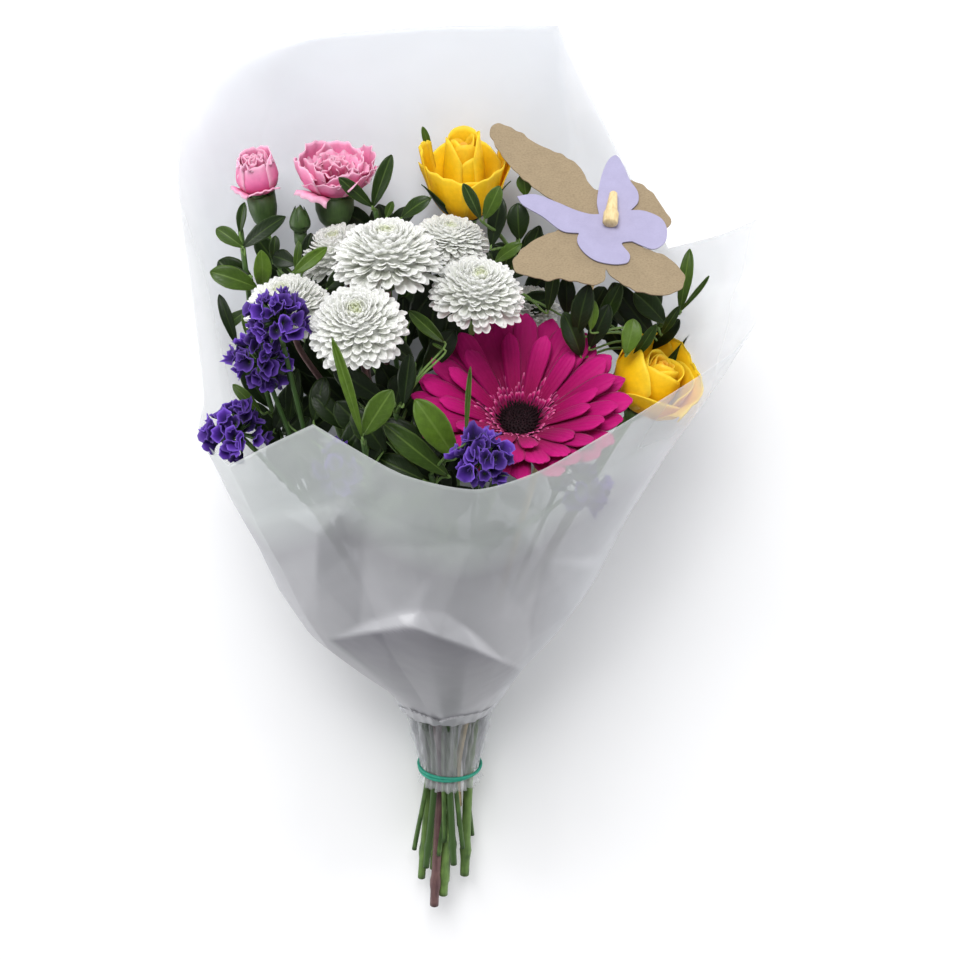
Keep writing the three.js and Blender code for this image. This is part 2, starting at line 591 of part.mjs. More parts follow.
// ---------------------------------------------------------------- butterfly on its stick
/** The matrix that lays a flat shape on the butterfly, at [x, y] on the card and a height off it. */
function onCard(x, y, height) {
  const across = new THREE.Vector3(1, 0, 0);
  const facing = vec(BUTTERFLY.facing).normalize();
  const up = facing.clone().cross(across);
  const place = vec(BUTTERFLY.at).addScaledVector(across, x).addScaledVector(up, y);
  return new THREE.Matrix4().makeBasis(across, up, facing).setPosition(place.addScaledVector(facing, height));
}

function card(outline, height, grow) {
  const shape = new THREE.Shape(outline.map(([x, y]) => new THREE.Vector2(x, y)));
  const depth = BUTTERFLY.card + 2 * grow;
  const geometry = new THREE.ExtrudeGeometry(shape, { depth, bevelEnabled: false });
  return geometry.applyMatrix4(onCard(0, 0, height - grow));
}

addPiece("butterfly_card_kraft", "kraftCard", (grow) => card(KRAFT_OUTLINE, 0, grow));
addPiece("butterfly_card_lilac", "lilacCard", (grow) => card(LILAC_OUTLINE, BUTTERFLY.spacing, grow));
addPiece("butterfly_peg", "wood", (grow) => {
  const [w, t] = [PEG.width / 2 + grow, PEG.tipWidth / 2 + grow];
  const corners = [[-w, 0], [w, 0], [t, PEG.length], [-t, PEG.length]];
  const shape = new THREE.Shape(corners.map((corner) => new THREE.Vector2(...corner)));
  const geometry = new THREE.ExtrudeGeometry(shape, { depth: PEG.depth + grow, bevelEnabled: false });
  return geometry.applyMatrix4(onCard(...PEG.place, BUTTERFLY.spacing + BUTTERFLY.card + GAP));
});
addPiece("butterfly_stick", "wood", (grow) => {
  const top = new THREE.Vector3().setFromMatrixPosition(onCard(0, 0, -GAP - STICK.tilt));
  const [x, y, z] = slotPoint(STICK.slot);
  return rod([[x, y - STICK.below, z], [x, y, z], top.toArray()], STICK.radius + grow, 8, 60);
});

// ---------------------------------------------------------------- greenery
/** A flat pointed leaf from base to tip, its face turned up towards the flower end. */
function leaf(base, tip, width, grow) {
  const start = vec(base);
  const run = vec(tip).sub(start);
  const length = run.length();
  const up = run.clone().normalize();
  const facing = LEAF_FACING.clone().addScaledVector(up, -up.dot(LEAF_FACING)).normalize();
  const across = up.clone().cross(facing);
  const side = LEAF_OUTLINE.map(([t, w]) => [(w * width) / 2 + grow, t * (length + 2 * grow) - grow]);
  const outline = [...side, ...side.map(([x, y]) => [-x, y]).reverse()];
  const shape = new THREE.Shape(outline.map(([x, y]) => new THREE.Vector2(x, y)));
  const depth = LEAF_THICKNESS + 2 * grow;
  const blade = new THREE.ExtrudeGeometry(shape, { depth, bevelEnabled: false }).translate(0, 0, -depth / 2);
  return blade.applyMatrix4(new THREE.Matrix4().makeBasis(across, up, facing).setPosition(start));
}

/** The short stalk that joins a leaf to the nearest point of its sprig's stem. */
function leafStalk(path, base, tip, grow) {
  const start = vec(base);
  const away = (point) => point.distanceTo(start);
  const onStem = path.getPoints(80).reduce((best, point) => (away(point) < away(best) ? point : best));
  const inside = start.clone().lerp(vec(tip), 0.2);
  return rod([onStem.toArray(), inside.toArray()], LEAF_STALK_RADIUS + grow, 3, 200);
}

function sprig(plan, grow) {
  const route = stemRoute(plan, plan.stem);
  const path = new THREE.CatmullRomCurve3(route.map(vec), false, "centripetal");
  const foliage = plan.leaves.flatMap(([base, tip, width]) => [
    leaf(base, tip, width, grow),
    leafStalk(path, base, tip, grow),
  ]);
  return toGeometry(join([rod(route, plan.radius + grow, 5), ...foliage]));
}

for (const [name, plan] of Object.entries(SPRIGS)) {
  addTrimmedPiece(name, "leaf", (grow) => sprig(plan, grow));
}

// ---------------------------------------------------------------- origin under the middle of the bouquet
const box = new THREE.Box3().setFromObject(bouquet);
const middle = box.getCenter(new THREE.Vector3());
bouquet.position.set(-middle.x, -middle.y, -box.min.z);

export default bouquet;
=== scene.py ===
"""A mixed bouquet in a frosted film wrapper, tied with an elastic band and lying on its back."""
import logging
import math
from dataclasses import dataclass
from enum import Enum
from typing import Callable, Sequence

import bpy
import numpy as np
from mathutils import Matrix, Vector
from mathutils.bvhtree import BVHTree
from mathutils.geometry import delaunay_2d_cdt


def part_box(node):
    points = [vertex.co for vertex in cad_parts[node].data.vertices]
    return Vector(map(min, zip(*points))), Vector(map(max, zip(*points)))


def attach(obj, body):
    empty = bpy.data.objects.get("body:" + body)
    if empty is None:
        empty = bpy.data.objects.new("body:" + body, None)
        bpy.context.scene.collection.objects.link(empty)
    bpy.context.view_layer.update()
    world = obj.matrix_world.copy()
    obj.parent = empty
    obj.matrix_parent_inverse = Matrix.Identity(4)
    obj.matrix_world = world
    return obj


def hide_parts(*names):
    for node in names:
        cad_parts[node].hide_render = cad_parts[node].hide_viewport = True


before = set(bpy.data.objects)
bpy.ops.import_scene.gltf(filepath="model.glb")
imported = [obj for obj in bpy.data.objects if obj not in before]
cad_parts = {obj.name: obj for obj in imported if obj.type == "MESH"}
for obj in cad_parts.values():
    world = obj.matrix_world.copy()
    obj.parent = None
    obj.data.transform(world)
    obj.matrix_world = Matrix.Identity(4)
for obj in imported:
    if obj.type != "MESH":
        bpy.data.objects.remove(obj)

LOG = logging.getLogger("bouquet")

Array = np.ndarray
Colour = tuple[int, int, int]
Point = tuple[float, float, float]
Curve = tuple[tuple[float, float], ...]
Solid = tuple[Array, Sequence[Sequence[int]] | Array, Array, Array]  # corners, faces, along, across
Item = bpy.types.Object
Material = bpy.types.Material
Socket = bpy.types.NodeSocket

MM = 0.001
BODY = "root"
TIE = np.array((-16.0, -184.0, 18.0))  # middle of the tie, in the bouquet's own millimetres
CAMERA = np.array((0.0, 464.88, 1056.94))
CAMERA_SINE, CAMERA_COSINE = 0.4226, 0.9063  # the camera leans 25 degrees from straight down
FOCAL_PIXELS, PICTURE_MIDDLE = 2310.0, 480.0
LENS_MM, SENSOR_MM = 86.625, 36.0
GOLDEN_ANGLE = math.pi * (3 - math.sqrt(5))
TO_CAMERA = np.array((0.0, CAMERA_SINE, CAMERA_COSINE))


# ---------------------------------------------------------------- geometry
def unit(vector: Sequence[float] | Array) -> Array:
    """The vector, one long."""
    vector = np.asarray(vector, float)
    return vector / np.linalg.norm(vector)


def rows(out: Array, face: Array) -> Array:
    """Axes of a petal or leaf.

    Args:
        out: The way it grows.
        face: The way its upper side looks, roughly.

    Returns:
        Three rows: across it, out along it, and off its face.
    """
    out = unit(out)
    face = unit(face - np.dot(face, out) * out)
    return np.array((np.cross(out, face), out, face))


def head_axes(facing: Sequence[float]) -> tuple[Array, Array, Array]:
    """Axes of a flower head.

    Args:
        facing: The way the flower looks.

    Returns:
        The axis, the side nearest straight up, and the side to its right.
    """
    axis = unit(facing)
    top = unit(np.array((0.0, 0.0, 1.0)) - axis[2] * axis)
    return axis, top, np.cross(axis, top)


def spline(points: Sequence[Sequence[float]], step: float) -> Array:
    """A centripetal Catmull-Rom curve through points.

    Args:
        points: The points that it passes through.
        step: Rough distance between the points returned.

    Returns:
        Points along the curve.
    """
    knots = np.asarray(points, float)
    knots = np.vstack((2 * knots[0] - knots[1], knots, 2 * knots[-1] - knots[-2]))
    made = []
    for p0, p1, p2, p3 in zip(knots, knots[1:], knots[2:], knots[3:]):
        t0 = 0.0
        t1 = t0 + max(np.linalg.norm(p1 - p0), 1e-6) ** 0.5
        t2 = t1 + max(np.linalg.norm(p2 - p1), 1e-6) ** 0.5
        t3 = t2 + max(np.linalg.norm(p3 - p2), 1e-6) ** 0.5
        count = max(2, round(float(np.linalg.norm(p2 - p1)) / step))
        t = np.linspace(t1, t2, count, endpoint=False)[:, None]
        a1 = (t1 - t) / (t1 - t0) * p0 + (t - t0) / (t1 - t0) * p1
        a2 = (t2 - t) / (t2 - t1) * p1 + (t - t1) / (t2 - t1) * p2
        a3 = (t3 - t) / (t3 - t2) * p2 + (t - t2) / (t3 - t2) * p3
        b1 = (t2 - t) / (t2 - t0) * a1 + (t - t0) / (t2 - t0) * a2
        b2 = (t3 - t) / (t3 - t1) * a2 + (t - t1) / (t3 - t1) * a3
        made.append((t2 - t) / (t2 - t1) * b1 + (t - t1) / (t2 - t1) * b2)
    return np.vstack((*made, knots[-2]))


def smooth(low: float, high: float, value: Array) -> Array:
    """Zero below low, one above high, and an S curve between."""
    share = np.clip((value - low) / (high - low), 0, 1)
    return share * share * (3 - 2 * share)


def in_picture(ray: Array) -> tuple[Array, Array]:
    """Where points are seen in the picture.

    Args:
        ray: The way to each from the camera.

    Returns:
        Their picture x and y.
    """
    depth = -(ray[:, 1] * CAMERA_SINE + ray[:, 2] * CAMERA_COSINE)
    rise = ray[:, 1] * CAMERA_COSINE - ray[:, 2] * CAMERA_SINE
    return PICTURE_MIDDLE + FOCAL_PIXELS * ray[:, 0] / depth, PICTURE_MIDDLE - FOCAL_PIXELS * rise / depth


def read_curve(curve: Curve, at: Array) -> Array:
    """The value of a table of (place, value) at each place asked."""
    places, values = zip(*curve)
    return np.interp(at, places, values)


# ---------------------------------------------------------------- the bench
@dataclass(frozen=True)
class Sheet:
    """A flat grid to shape petals from: u runs -1 to 1 across it, v runs 0 to 1 along it."""

    u: Array
    v: Array
    faces: Array


class Bench:
    """The Blender operators that the pieces are made with."""

    sheets: dict[tuple[int, int], Sheet] = {}

    @staticmethod
    def clear() -> None:
        """Deselects everything."""
        bpy.ops.object.select_all(action="DESELECT")

    @staticmethod
    def hold(*objects: Item) -> Item:
        """Selects only these objects and makes the first one active."""
        Bench.clear()
        for item in objects:
            item.select_set(True)
        bpy.context.view_layer.objects.active = objects[0]
        return objects[0]

    @staticmethod
    def finish(item: Item, kind: str, **settings: object) -> None:
        """Adds a modifier and applies it.

        Args:
            item: The object.
            kind: The modifier's type.
            settings: Its settings.
        """
        Bench.hold(item)
        modifier = item.modifiers.new(kind.title(), kind)
        for name, value in settings.items():
            setattr(modifier, name, value)
        bpy.ops.object.modifier_apply(modifier=modifier.name)

    @staticmethod
    def edit(item: Item, *steps: Callable[[], object]) -> None:
        """Runs edit mode operators on the whole of an object.

        Args:
            item: The object.
            steps: Calls to make in edit mode, with everything selected.
        """
        Bench.hold(item)
        bpy.ops.object.mode_set(mode="EDIT")
        bpy.ops.mesh.select_all(action="SELECT")
        for step in steps:
            step()
        bpy.ops.object.mode_set(mode="OBJECT")

    @staticmethod
    def recalculate(item: Item, merge: float = 1e-6) -> None:
        """Merges an object's doubles and turns its faces outwards."""
        Bench.edit(
            item,
            lambda: bpy.ops.mesh.remove_doubles(threshold=merge),
            lambda: bpy.ops.mesh.normals_make_consistent(inside=False),
        )

    @staticmethod
    def sheet(across: int, along: int) -> Sheet:
        """A flat grid read from Blender's grid primitive.

        Args:
            across: Faces across it.
            along: Faces along it.

        Returns:
            The grid.
        """
        key = (across, along)
        if key not in Bench.sheets:
            Bench.clear()
            bpy.ops.mesh.primitive_grid_add(x_subdivisions=across, y_subdivisions=along, size=2)
            grid = bpy.context.active_object
            corners = np.array([tuple(vertex.co) for vertex in grid.data.vertices])
            faces = np.array([tuple(face.vertices) for face in grid.data.polygons])
            bpy.data.objects.remove(grid)
            Bench.sheets[key] = Sheet(corners[:, 0], (corners[:, 1] + 1) / 2, faces)
        return Bench.sheets[key]

    @staticmethod
    def join(name: str, items: Sequence[Item]) -> Item:
        """Joins objects into one.

        Args:
            name: The name of the whole.
            items: The objects.

        Returns:
            The joined object.
        """
        whole = Bench.hold(*items)
        if len(items) > 1:
            bpy.ops.object.join()
        whole.name = name
        whole.data.name = name
        return whole


@dataclass(frozen=True)
class Layout:
    """Turns the bouquet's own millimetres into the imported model's metres."""

    shift: Array

    @classmethod
    def read(cls) -> "Layout":
        """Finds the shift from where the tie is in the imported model."""
        low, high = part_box("elastic_tie")
        return cls((np.array(low) + np.array(high)) / 2 / MM - TIE)

    def metres(self, points: Array) -> Array:
        """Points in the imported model's metres."""
        return (np.asarray(points, float) + self.shift) * MM


LAYOUT = Layout.read()


def new_item(name: str, points: Array, faces: Sequence[Sequence[int]], material: Material) -> Item:
    """A new object of a mesh.

    Args:
        name: Its name.
        points: Its corners in the bouquet's own millimetres.
        faces: Its faces, by corner number.
        material: Its finish.

    Returns:
        The object.
    """
    mesh = bpy.data.meshes.new(name)
    mesh.from_pydata(LAYOUT.metres(points).tolist(), [], faces)
    mesh.materials.append(material)
    item = bpy.data.objects.new(name, mesh)
    bpy.context.collection.objects.link(item)
    return item


class Bunch:
    """Collects many small shapes into one mesh, with what its finish reads at each point."""

    def __init__(self) -> None:
        """Starts empty."""
        self.points: list[Array] = []
        self.faces: list[tuple[int, ...]] = []
        self.facts: dict[str, list[Array]] = {"along": [], "across": [], "ring": [], "tint": []}
        self.count = 0

    def add(
        self,
        points: Array,
        faces: Sequence[Sequence[int]] | Array,
        along: Array,
        across: Array,
        ring: float | Array = 0.0,
        tint: float | Array = 0.5,
    ) -> None:
        """Adds one shape.

        Args:
            points: Its corners in millimetres.
            faces: Its faces, by corner number.
            along: Share of the way from its foot to its tip, at each corner.
            across: Place across it, -1 to 1, at each corner.
            ring: Its place from the flower's heart (0) to its rim (1).
            tint: A number that varies its colour.
        """
        size = len(points)
        self.points.append(points)
        self.faces.extend(tuple(int(corner) + self.count for corner in face) for face in faces)
        for fact, value in (("along", along), ("across", across), ("ring", ring), ("tint", tint)):
            self.facts[fact].append(np.broadcast_to(np.asarray(value, float), (size,)))
        self.count += size

    def add_blade(
        self, blade: "Blade", sheet: Sheet, foot: Array, axes: Array, ring: float = 0.5, tint: float = 0.5
    ) -> None:
        """Adds one petal or leaf.

        Args:
            blade: Its shape.
            sheet: The flat sheet that it is shaped from.
            foot: Where it starts.
            axes: The rows that turn it.
            ring: Its place from the flower's heart (0) to its rim (1).
            tint: A number that varies its colour.
        """
        corners, v = blade.shape(sheet)
        self.add(foot + corners @ axes, sheet.faces, v, sheet.u, ring, tint)

    def make(self, name: str, material: Material, thickness: float = 0.0) -> Item:
        """Makes the mesh.

        Args:
            name: The object's name.
            material: Its finish.
            thickness: Wall to give open sheets, in millimetres, or 0 for closed shapes.

        Returns:
            The object.
        """
        item = new_item(name, np.vstack(self.points), self.faces, material)
        for fact, values in self.facts.items():
            layer = item.data.attributes.new(fact, "FLOAT", "POINT")
            layer.data.foreach_set("value", np.concatenate(values).astype(np.float32))
        if thickness:
            Bench.finish(item, "SOLIDIFY", thickness=thickness * MM, offset=0.0)
        else:
            Bench.recalculate(item)
        Bench.hold(item)
        bpy.ops.object.shade_smooth()
        return item


def place(item: Item, node: str) -> None:
    """Puts a finished piece in the place of its CAD node.

    Args:
        item: The piece.
        node: The CAD node that it stands for.
    """
    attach(item, BODY)
    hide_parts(node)
    LOG.info("%s: %d faces", item.name, len(item.data.polygons))


def assemble(name: str, slot: str, node: str, *parts: tuple[Bunch, Material, float]) -> None:
    """Makes one piece of parts that have finishes of their own, and puts it in its place.

    Args:
        name: The piece's name.
        slot: The record's material slot; not used.
        node: The CAD node that it stands for.
        parts: Each part's shapes, its finish, and the wall that its open sheets get, in millimetres.
    """
    items = [bunch.make(f"{name}_part", finish, wall) for bunch, finish, wall in parts]
    place(Bench.join(name, items), node)


# ---------------------------------------------------------------- finishes
def linear(colour: Colour) -> tuple[float, float, float, float]:
    """A scene-linear colour.

    Args:
        colour: The sRGB one, 0 to 255.

    Returns:
        Red, green, blue and alpha.
    """
    shares = [value / 255 for value in colour]
    made = [s / 12.92 if s <= 0.04045 else ((s + 0.055) / 1.055) ** 2.4 for s in shares]
    return made[0], made[1], made[2], 1.0


class Shader:
    """Builds one material's nodes."""

    def __init__(self, name: str) -> None:
        """Starts a material with only its output.

        Args:
            name: The material's name.
        """
        self.material = bpy.data.materials.new(name)
        self.material.use_nodes = True
        self.tree = self.material.node_tree
        self.tree.nodes.clear()
        self.output = self.tree.nodes.new("ShaderNodeOutputMaterial")

    def node(self, kind: str, inputs: dict[str | int, object], **settings: object) -> bpy.types.Node:
        """Adds a node.

        Args:
            kind: Its type.
            inputs: Values or sockets for its inputs.
            settings: Its settings.

        Returns:
            The node.
        """
        made = self.tree.nodes.new(kind)
        for name, value in settings.items():
            setattr(made, name, value)
        for key, value in inputs.items():
            if isinstance(value, Socket):
                self.tree.links.new(value, made.inputs[key])
            else:
                made.inputs[key].default_value = value
        return made

    def fact(self, name: str) -> Socket:
        """One of the numbers that Bunch stores at each point."""
        return self.node("ShaderNodeAttribute", {}, attribute_name=name).outputs["Fac"]

    def noise(self, size: float, detail: float = 3.0, stretch: Point = (1.0, 1.0, 1.0)) -> Socket:
        """A cloudy pattern.

        Args:
            size: Rough size of its spots in millimetres.
            detail: How much finer it goes.
            stretch: How much finer the spots are along each axis.

        Returns:
            Its value, 0 to 1.
        """
        spot = self.node("ShaderNodeTexCoord", {}).outputs["Object"]
        turned = self.node("ShaderNodeMapping", {"Vector": spot, "Scale": stretch})
        made = self.node(
            "ShaderNodeTexNoise",
            {"Vector": turned.outputs["Vector"], "Scale": 1 / (size * MM), "Detail": detail},
        )
        return made.outputs["Fac"]

    def math(self, action: str, first: object, second: object = 0.0) -> Socket:
        """The result of one sum."""
        made = self.node("ShaderNodeMath", {0: first, 1: second}, operation=action)
        return made.outputs["Value"]

    def ramp(self, value: Socket, stops: Sequence[tuple[float, Colour]]) -> Socket:
        """Colours along a value.

        Args:
            value: The value, 0 to 1.
            stops: Each place and its sRGB colour.

        Returns:
            The colour.
        """
        made = self.node("ShaderNodeValToRGB", {"Fac": value})
        elements = made.color_ramp.elements
        while len(elements) < len(stops):
            elements.new(1.0)
        for element, (at, colour) in zip(elements, stops):
            element.position = at
            element.color = linear(colour)
        return made.outputs["Color"]

    def scale(self, value: object, low: float, high: float, to_low: float, to_high: float) -> Socket:
        """A value moved from one span to another, and held there.

        Args:
            value: The value.
            low: Where its span starts.
            high: Where it ends.
            to_low: Where the new span starts.
            to_high: Where that ends.

        Returns:
            The moved value.
        """
        made = self.node(
            "ShaderNodeMapRange",
            {"Value": value, "From Min": low, "From Max": high, "To Min": to_low, "To Max": to_high},
        )
        return made.outputs["Result"]

    def mix(self, share: object, first: object, second: object) -> Socket:
        """Two colours mixed.

        Args:
            share: How much of the second.
            first: A colour or colour socket.
            second: Another.

        Returns:
            The colour.
        """
        made = self.node("ShaderNodeMix", {}, data_type="RGBA", blend_type="MIX")
        for index, value in ((0, share), (6, first), (7, second)):
            if isinstance(value, Socket):
                self.tree.links.new(value, made.inputs[index])
            elif index and isinstance(value, tuple) and len(value) == 3:
                made.inputs[index].default_value = linear(value)
            else:
                made.inputs[index].default_value = value
        return made.outputs[2]

    def bump(self, height: object, strength: float, distance: float) -> Socket:
        """A bumped normal, from a height and its depth in millimetres."""
        made = self.node(
            "ShaderNodeBump", {"Strength": strength, "Distance": distance * MM, "Height": height}
        )
        return made.outputs["Normal"]

    def tone(self, value: Socket, colour: Socket) -> Socket:
        """A colour made darker or lighter by a value round 1."""
        return self.node("ShaderNodeHueSaturation", {"Value": value, "Color": colour}).outputs["Color"]

    def surface(
        self, colour: Socket, roughness: float, specular: float, normal: Socket,
        more: dict[str, object] | None = None,
    ) -> Socket:
        """A surface that light falls on.

        Args:
            colour: Its colour.
            roughness: Its roughness.
            specular: How strongly it reflects.
            normal: Its bumped normal.
            more: Values for other inputs, by their names.

        Returns:
            The shader.
        """
        inputs = {"Base Color": colour, "Roughness": roughness, "Specular IOR Level": specular}
        return self.node("ShaderNodeBsdfPrincipled", inputs | {"Normal": normal} | (more or {})).outputs[0]

    def close(self, shader: Socket, lets_through: float = 0.0, glow: Socket | None = None) -> Material:
        """Ends the material.

        Args:
            shader: Its surface.
            lets_through: Share of the light that it spreads on its far side.
            glow: The colour of that light.

        Returns:
            The material.
        """
        if lets_through:
            thin = self.node("ShaderNodeBsdfTranslucent", {"Color": glow})
            both = self.node("ShaderNodeMixShader", {0: lets_through, 1: shader, 2: thin.outputs[0]})
            shader = both.outputs[0]
        self.tree.links.new(shader, self.output.inputs["Surface"])
        return self.material


@dataclass(frozen=True)
class PetalFinish:
    """A petal: its colours from foot to tip, how they change from the heart out, and its veins."""

    name: str
    colours: tuple[tuple[float, Colour], ...]
    heart: Colour
    heart_reach: float
    heart_share: float
    edge: Colour
    edge_share: float
    roughness: float = 0.55
    specular: float = 0.3
    sheen: float = 0.2
    veins: float = 8.0
    vein_depth: float = 0.12
    lets_through: float = 0.25
    tint: float = 0.12
    soft: float = 0.0  # share of light that spreads inside it

    def make(self) -> Material:
        """Builds the material."""
        shader = Shader(self.name)
        across, along = shader.fact("across"), shader.fact("along")
        colour = shader.ramp(along, self.colours)
        ring = shader.fact("ring")
        near = shader.scale(ring, 0.0, self.heart_reach, self.heart_share, 0.0)
        colour = shader.mix(near, colour, self.heart)
        side = shader.math("POWER", shader.math("ABSOLUTE", across), 5.0)
        tip = shader.math("POWER", along, 9.0)
        rim = shader.math("MULTIPLY", shader.math("MAXIMUM", side, tip), self.edge_share)
        colour = shader.mix(rim, colour, self.edge)
        tint = shader.scale(shader.fact("tint"), 0.0, 1.0, 1 - self.tint, 1 + self.tint)
        cloud = shader.scale(shader.noise(2.2), 0.3, 0.7, 0.94, 1.04)
        colour = shader.tone(shader.math("MULTIPLY", tint, cloud), colour)
        lines = shader.math("SINE", shader.math("MULTIPLY", across, self.veins * math.pi))
        height = shader.math("ADD", shader.math("MULTIPLY", lines, 0.5), shader.noise(0.5))
        more = {
            "Sheen Weight": self.sheen,
            "Subsurface Weight": self.soft,
            "Subsurface Radius": (1.0, 1.0, 0.95),
            "Subsurface Scale": 0.004,
        }
        normal = shader.bump(height, 0.6, self.vein_depth)
        surface = shader.surface(colour, self.roughness, self.specular, normal, more)
        return shader.close(surface, self.lets_through, colour)


@dataclass(frozen=True)
class LeafFinish:
    """A leathery leaf with a pale midrib, side veins and a lighter margin; its darkest green is partly
    painted shade.
    """

    name: str = "leaf green"
    # dark is near black: partly dark foliage, partly painted shade for leaves deep in the bunch.
    dark: Colour = (13, 26, 7)
    middle: Colour = (38, 60, 14)
    light: Colour = (92, 122, 34)
    rib: Colour = (102, 128, 54)
    dark_rib: Colour = (44, 64, 24)

    def make(self) -> Material:
        """Builds the material."""
        shader = Shader(self.name)
        across, along = shader.fact("across"), shader.fact("along")
        off = shader.math("ABSOLUTE", across)
        tint = shader.fact("tint")
        colour = shader.ramp(tint, ((0.0, self.dark), (0.5, self.middle), (1.0, self.light)))
        ribs = shader.ramp(tint, ((0.0, self.dark_rib), (0.6, self.rib), (1.0, self.rib)))
        colour = shader.tone(shader.scale(shader.noise(3.0, 4.0), 0.25, 0.75, 0.8, 1.2), colour)
        back = shader.math("MULTIPLY", off, 2.4)
        slant = shader.math("SUBTRACT", shader.math("MULTIPLY", along, 9.0), back)
        lines = shader.math("ABSOLUTE", shader.math("SINE", shader.math("MULTIPLY", slant, math.pi)))
        veins = shader.math("POWER", shader.math("SUBTRACT", 1.0, lines), 6.0)
        colour = shader.mix(shader.math("MULTIPLY", veins, 0.14), colour, ribs)
        margin = shader.scale(off, 0.86, 1.0, 0.0, 0.45)
        colour = shader.mix(margin, colour, ribs)
        rib = shader.scale(off, 0.04, 0.11, 0.6, 0.0)
        colour = shader.mix(rib, colour, ribs)
        height = shader.math("ADD", shader.math("MULTIPLY", veins, -0.5), shader.math("MULTIPLY", rib, -1.2))
        height = shader.math("ADD", height, shader.math("MULTIPLY", shader.noise(0.7), 0.5))
        surface = shader.surface(colour, 0.4, 0.3, shader.bump(height, 0.5, 0.22))
        return shader.close(surface, 0.16, shader.mix(0.4, colour, self.light))


@dataclass(frozen=True)
class StemFinish:
    """A stem: streaked lengthways, paler at its cut end."""

    name: str
    dark: Colour
    light: Colour
    cut: Colour = (196, 206, 150)
    roughness: float = 0.5

    def make(self) -> Material:
        """Builds the material."""
        shader = Shader(self.name)
        streak = shader.noise(1.4, 4.0, (1.0, 0.12, 1.0))
        blotch = shader.noise(9.0, 2.0)
        value = shader.math("MULTIPLY", shader.math("ADD", streak, blotch), 0.5)
        value = shader.math("ADD", value, shader.math("SUBTRACT", shader.fact("tint"), 0.5))
        colour = shader.mix(shader.scale(value, 0.3, 0.7, 0.0, 1.0), self.dark, self.light)
        colour = shader.mix(shader.scale(shader.fact("along"), -0.001, 0.0, 1.0, 0.0), colour, self.cut)
        return shader.close(shader.surface(colour, self.roughness, 0.35, shader.bump(streak, 0.5, 0.25)))


@dataclass(frozen=True)
class FilmFinish:
    """Frosted film: a milky sheet with a satin gloss, clearer at its rim, its back and its gathered end. Its
    front is painted grey as shade, lighter towards the rim; its side strips are painted lighter, and its
    doubled facet under the lip is painted dark as shade.
    """

    name: str = "frosted film"
    # back is the film's own milky white; front is partly the milky film over dark stems and partly painted
    # shade; lip is the band near the rim, painted lighter.
    back: Colour = (235, 238, 243)
    front: Colour = (188, 188, 192)
    lip: Colour = (224, 229, 228)
    back_alpha: float = 0.42
    rim_alpha: float = 0.37
    deep_alpha: float = 0.86
    tube_alpha: float = 0.3
    # Colour of the facet where the film lies double under its lip: partly the denser double film, partly
    # painted shade.
    double_layer_shade: Colour = (112, 110, 120)
    # Colour of the side strips, where the film turns away sideways: painted light.
    side: Colour = (236, 238, 243)

    def make(self) -> Material:
        """Builds the material."""
        shader = Shader(self.name)
        along, front = shader.fact("along"), shader.fact("ring")
        milky = shader.scale(along, 0.62, 0.88, self.deep_alpha, self.rim_alpha)
        clear_end = shader.scale(along, 0.17, 0.2, self.tube_alpha, 1.0)
        alpha = shader.math("MINIMUM", shader.mix(front, (self.back_alpha,) * 3 + (1.0,), milky), clear_end)
        wave = shader.noise(30.0, 2.0)
        crease = shader.noise(9.0, 1.0, (1.0, 0.5, 1.0))
        grain = shader.noise(0.35, 2.0)
        height = shader.math("ADD", shader.math("MULTIPLY", wave, 3.2), shader.math("MULTIPLY", grain, 0.06))
        height = shader.math("ADD", height, shader.math("MULTIPLY", crease, 0.45))
        # Painted shade and light: the front is grey, lightening towards the rim, and the back stays near
        # white.
        colour = shader.mix(shader.scale(along, 0.76, 0.86, 0.0, 1.0), self.front, self.lip)
        colour = shader.mix(front, self.back, colour)
        # The doubled facet under the lip: partly denser double film, partly painted shade.
        colour = shader.mix(shader.fact("tint"), colour, self.double_layer_shade)
        # The side strips are painted lighter, standing for light through and off the film there, and are also
        # made clearer.
        side = shader.fact("across")
        colour = shader.mix(shader.math("MULTIPLY", side, 0.7), colour, self.side)
        alpha = shader.math("MULTIPLY", alpha, shader.scale(side, 0.0, 1.0, 1.0, 0.55))
        surface = shader.surface(colour, 0.3, 0.5, shader.bump(height, 0.35, 1.0), {"Alpha": alpha})
        thin = shader.node("ShaderNodeBsdfTranslucent", {"Color": colour})
        clear = shader.node("ShaderNodeBsdfTransparent", {})
        spread = shader.node("ShaderNodeMixShader", {0: alpha, 1: clear.outputs[0], 2: thin.outputs[0]})
        both = shader.node("ShaderNodeMixShader", {0: 0.18, 1: surface, 2: spread.outputs[0]})
        return shader.close(both.outputs[0])


@dataclass(frozen=True)
class CardFinish:
    """Thick paper: its colour, with fibres and a faint tooth."""

    name: str
    colour: Colour
    fibre: Colour
    fibre_share: float

    def make(self) -> Material:
        """Builds the material."""
        shader = Shader(self.name)
        fleck = shader.noise(0.55, 5.0, (0.6, 1.0, 1.0))
        share = shader.scale(fleck, 0.42, 0.72, 0.0, self.fibre_share)
        colour = shader.mix(share, self.colour, self.fibre)
        colour = shader.tone(shader.scale(shader.noise(5.0, 5.0), 0.3, 0.7, 0.96, 1.04), colour)
        return shader.close(shader.surface(colour, 0.85, 0.2, shader.bump(shader.noise(0.4, 4.0), 0.4, 0.12)))


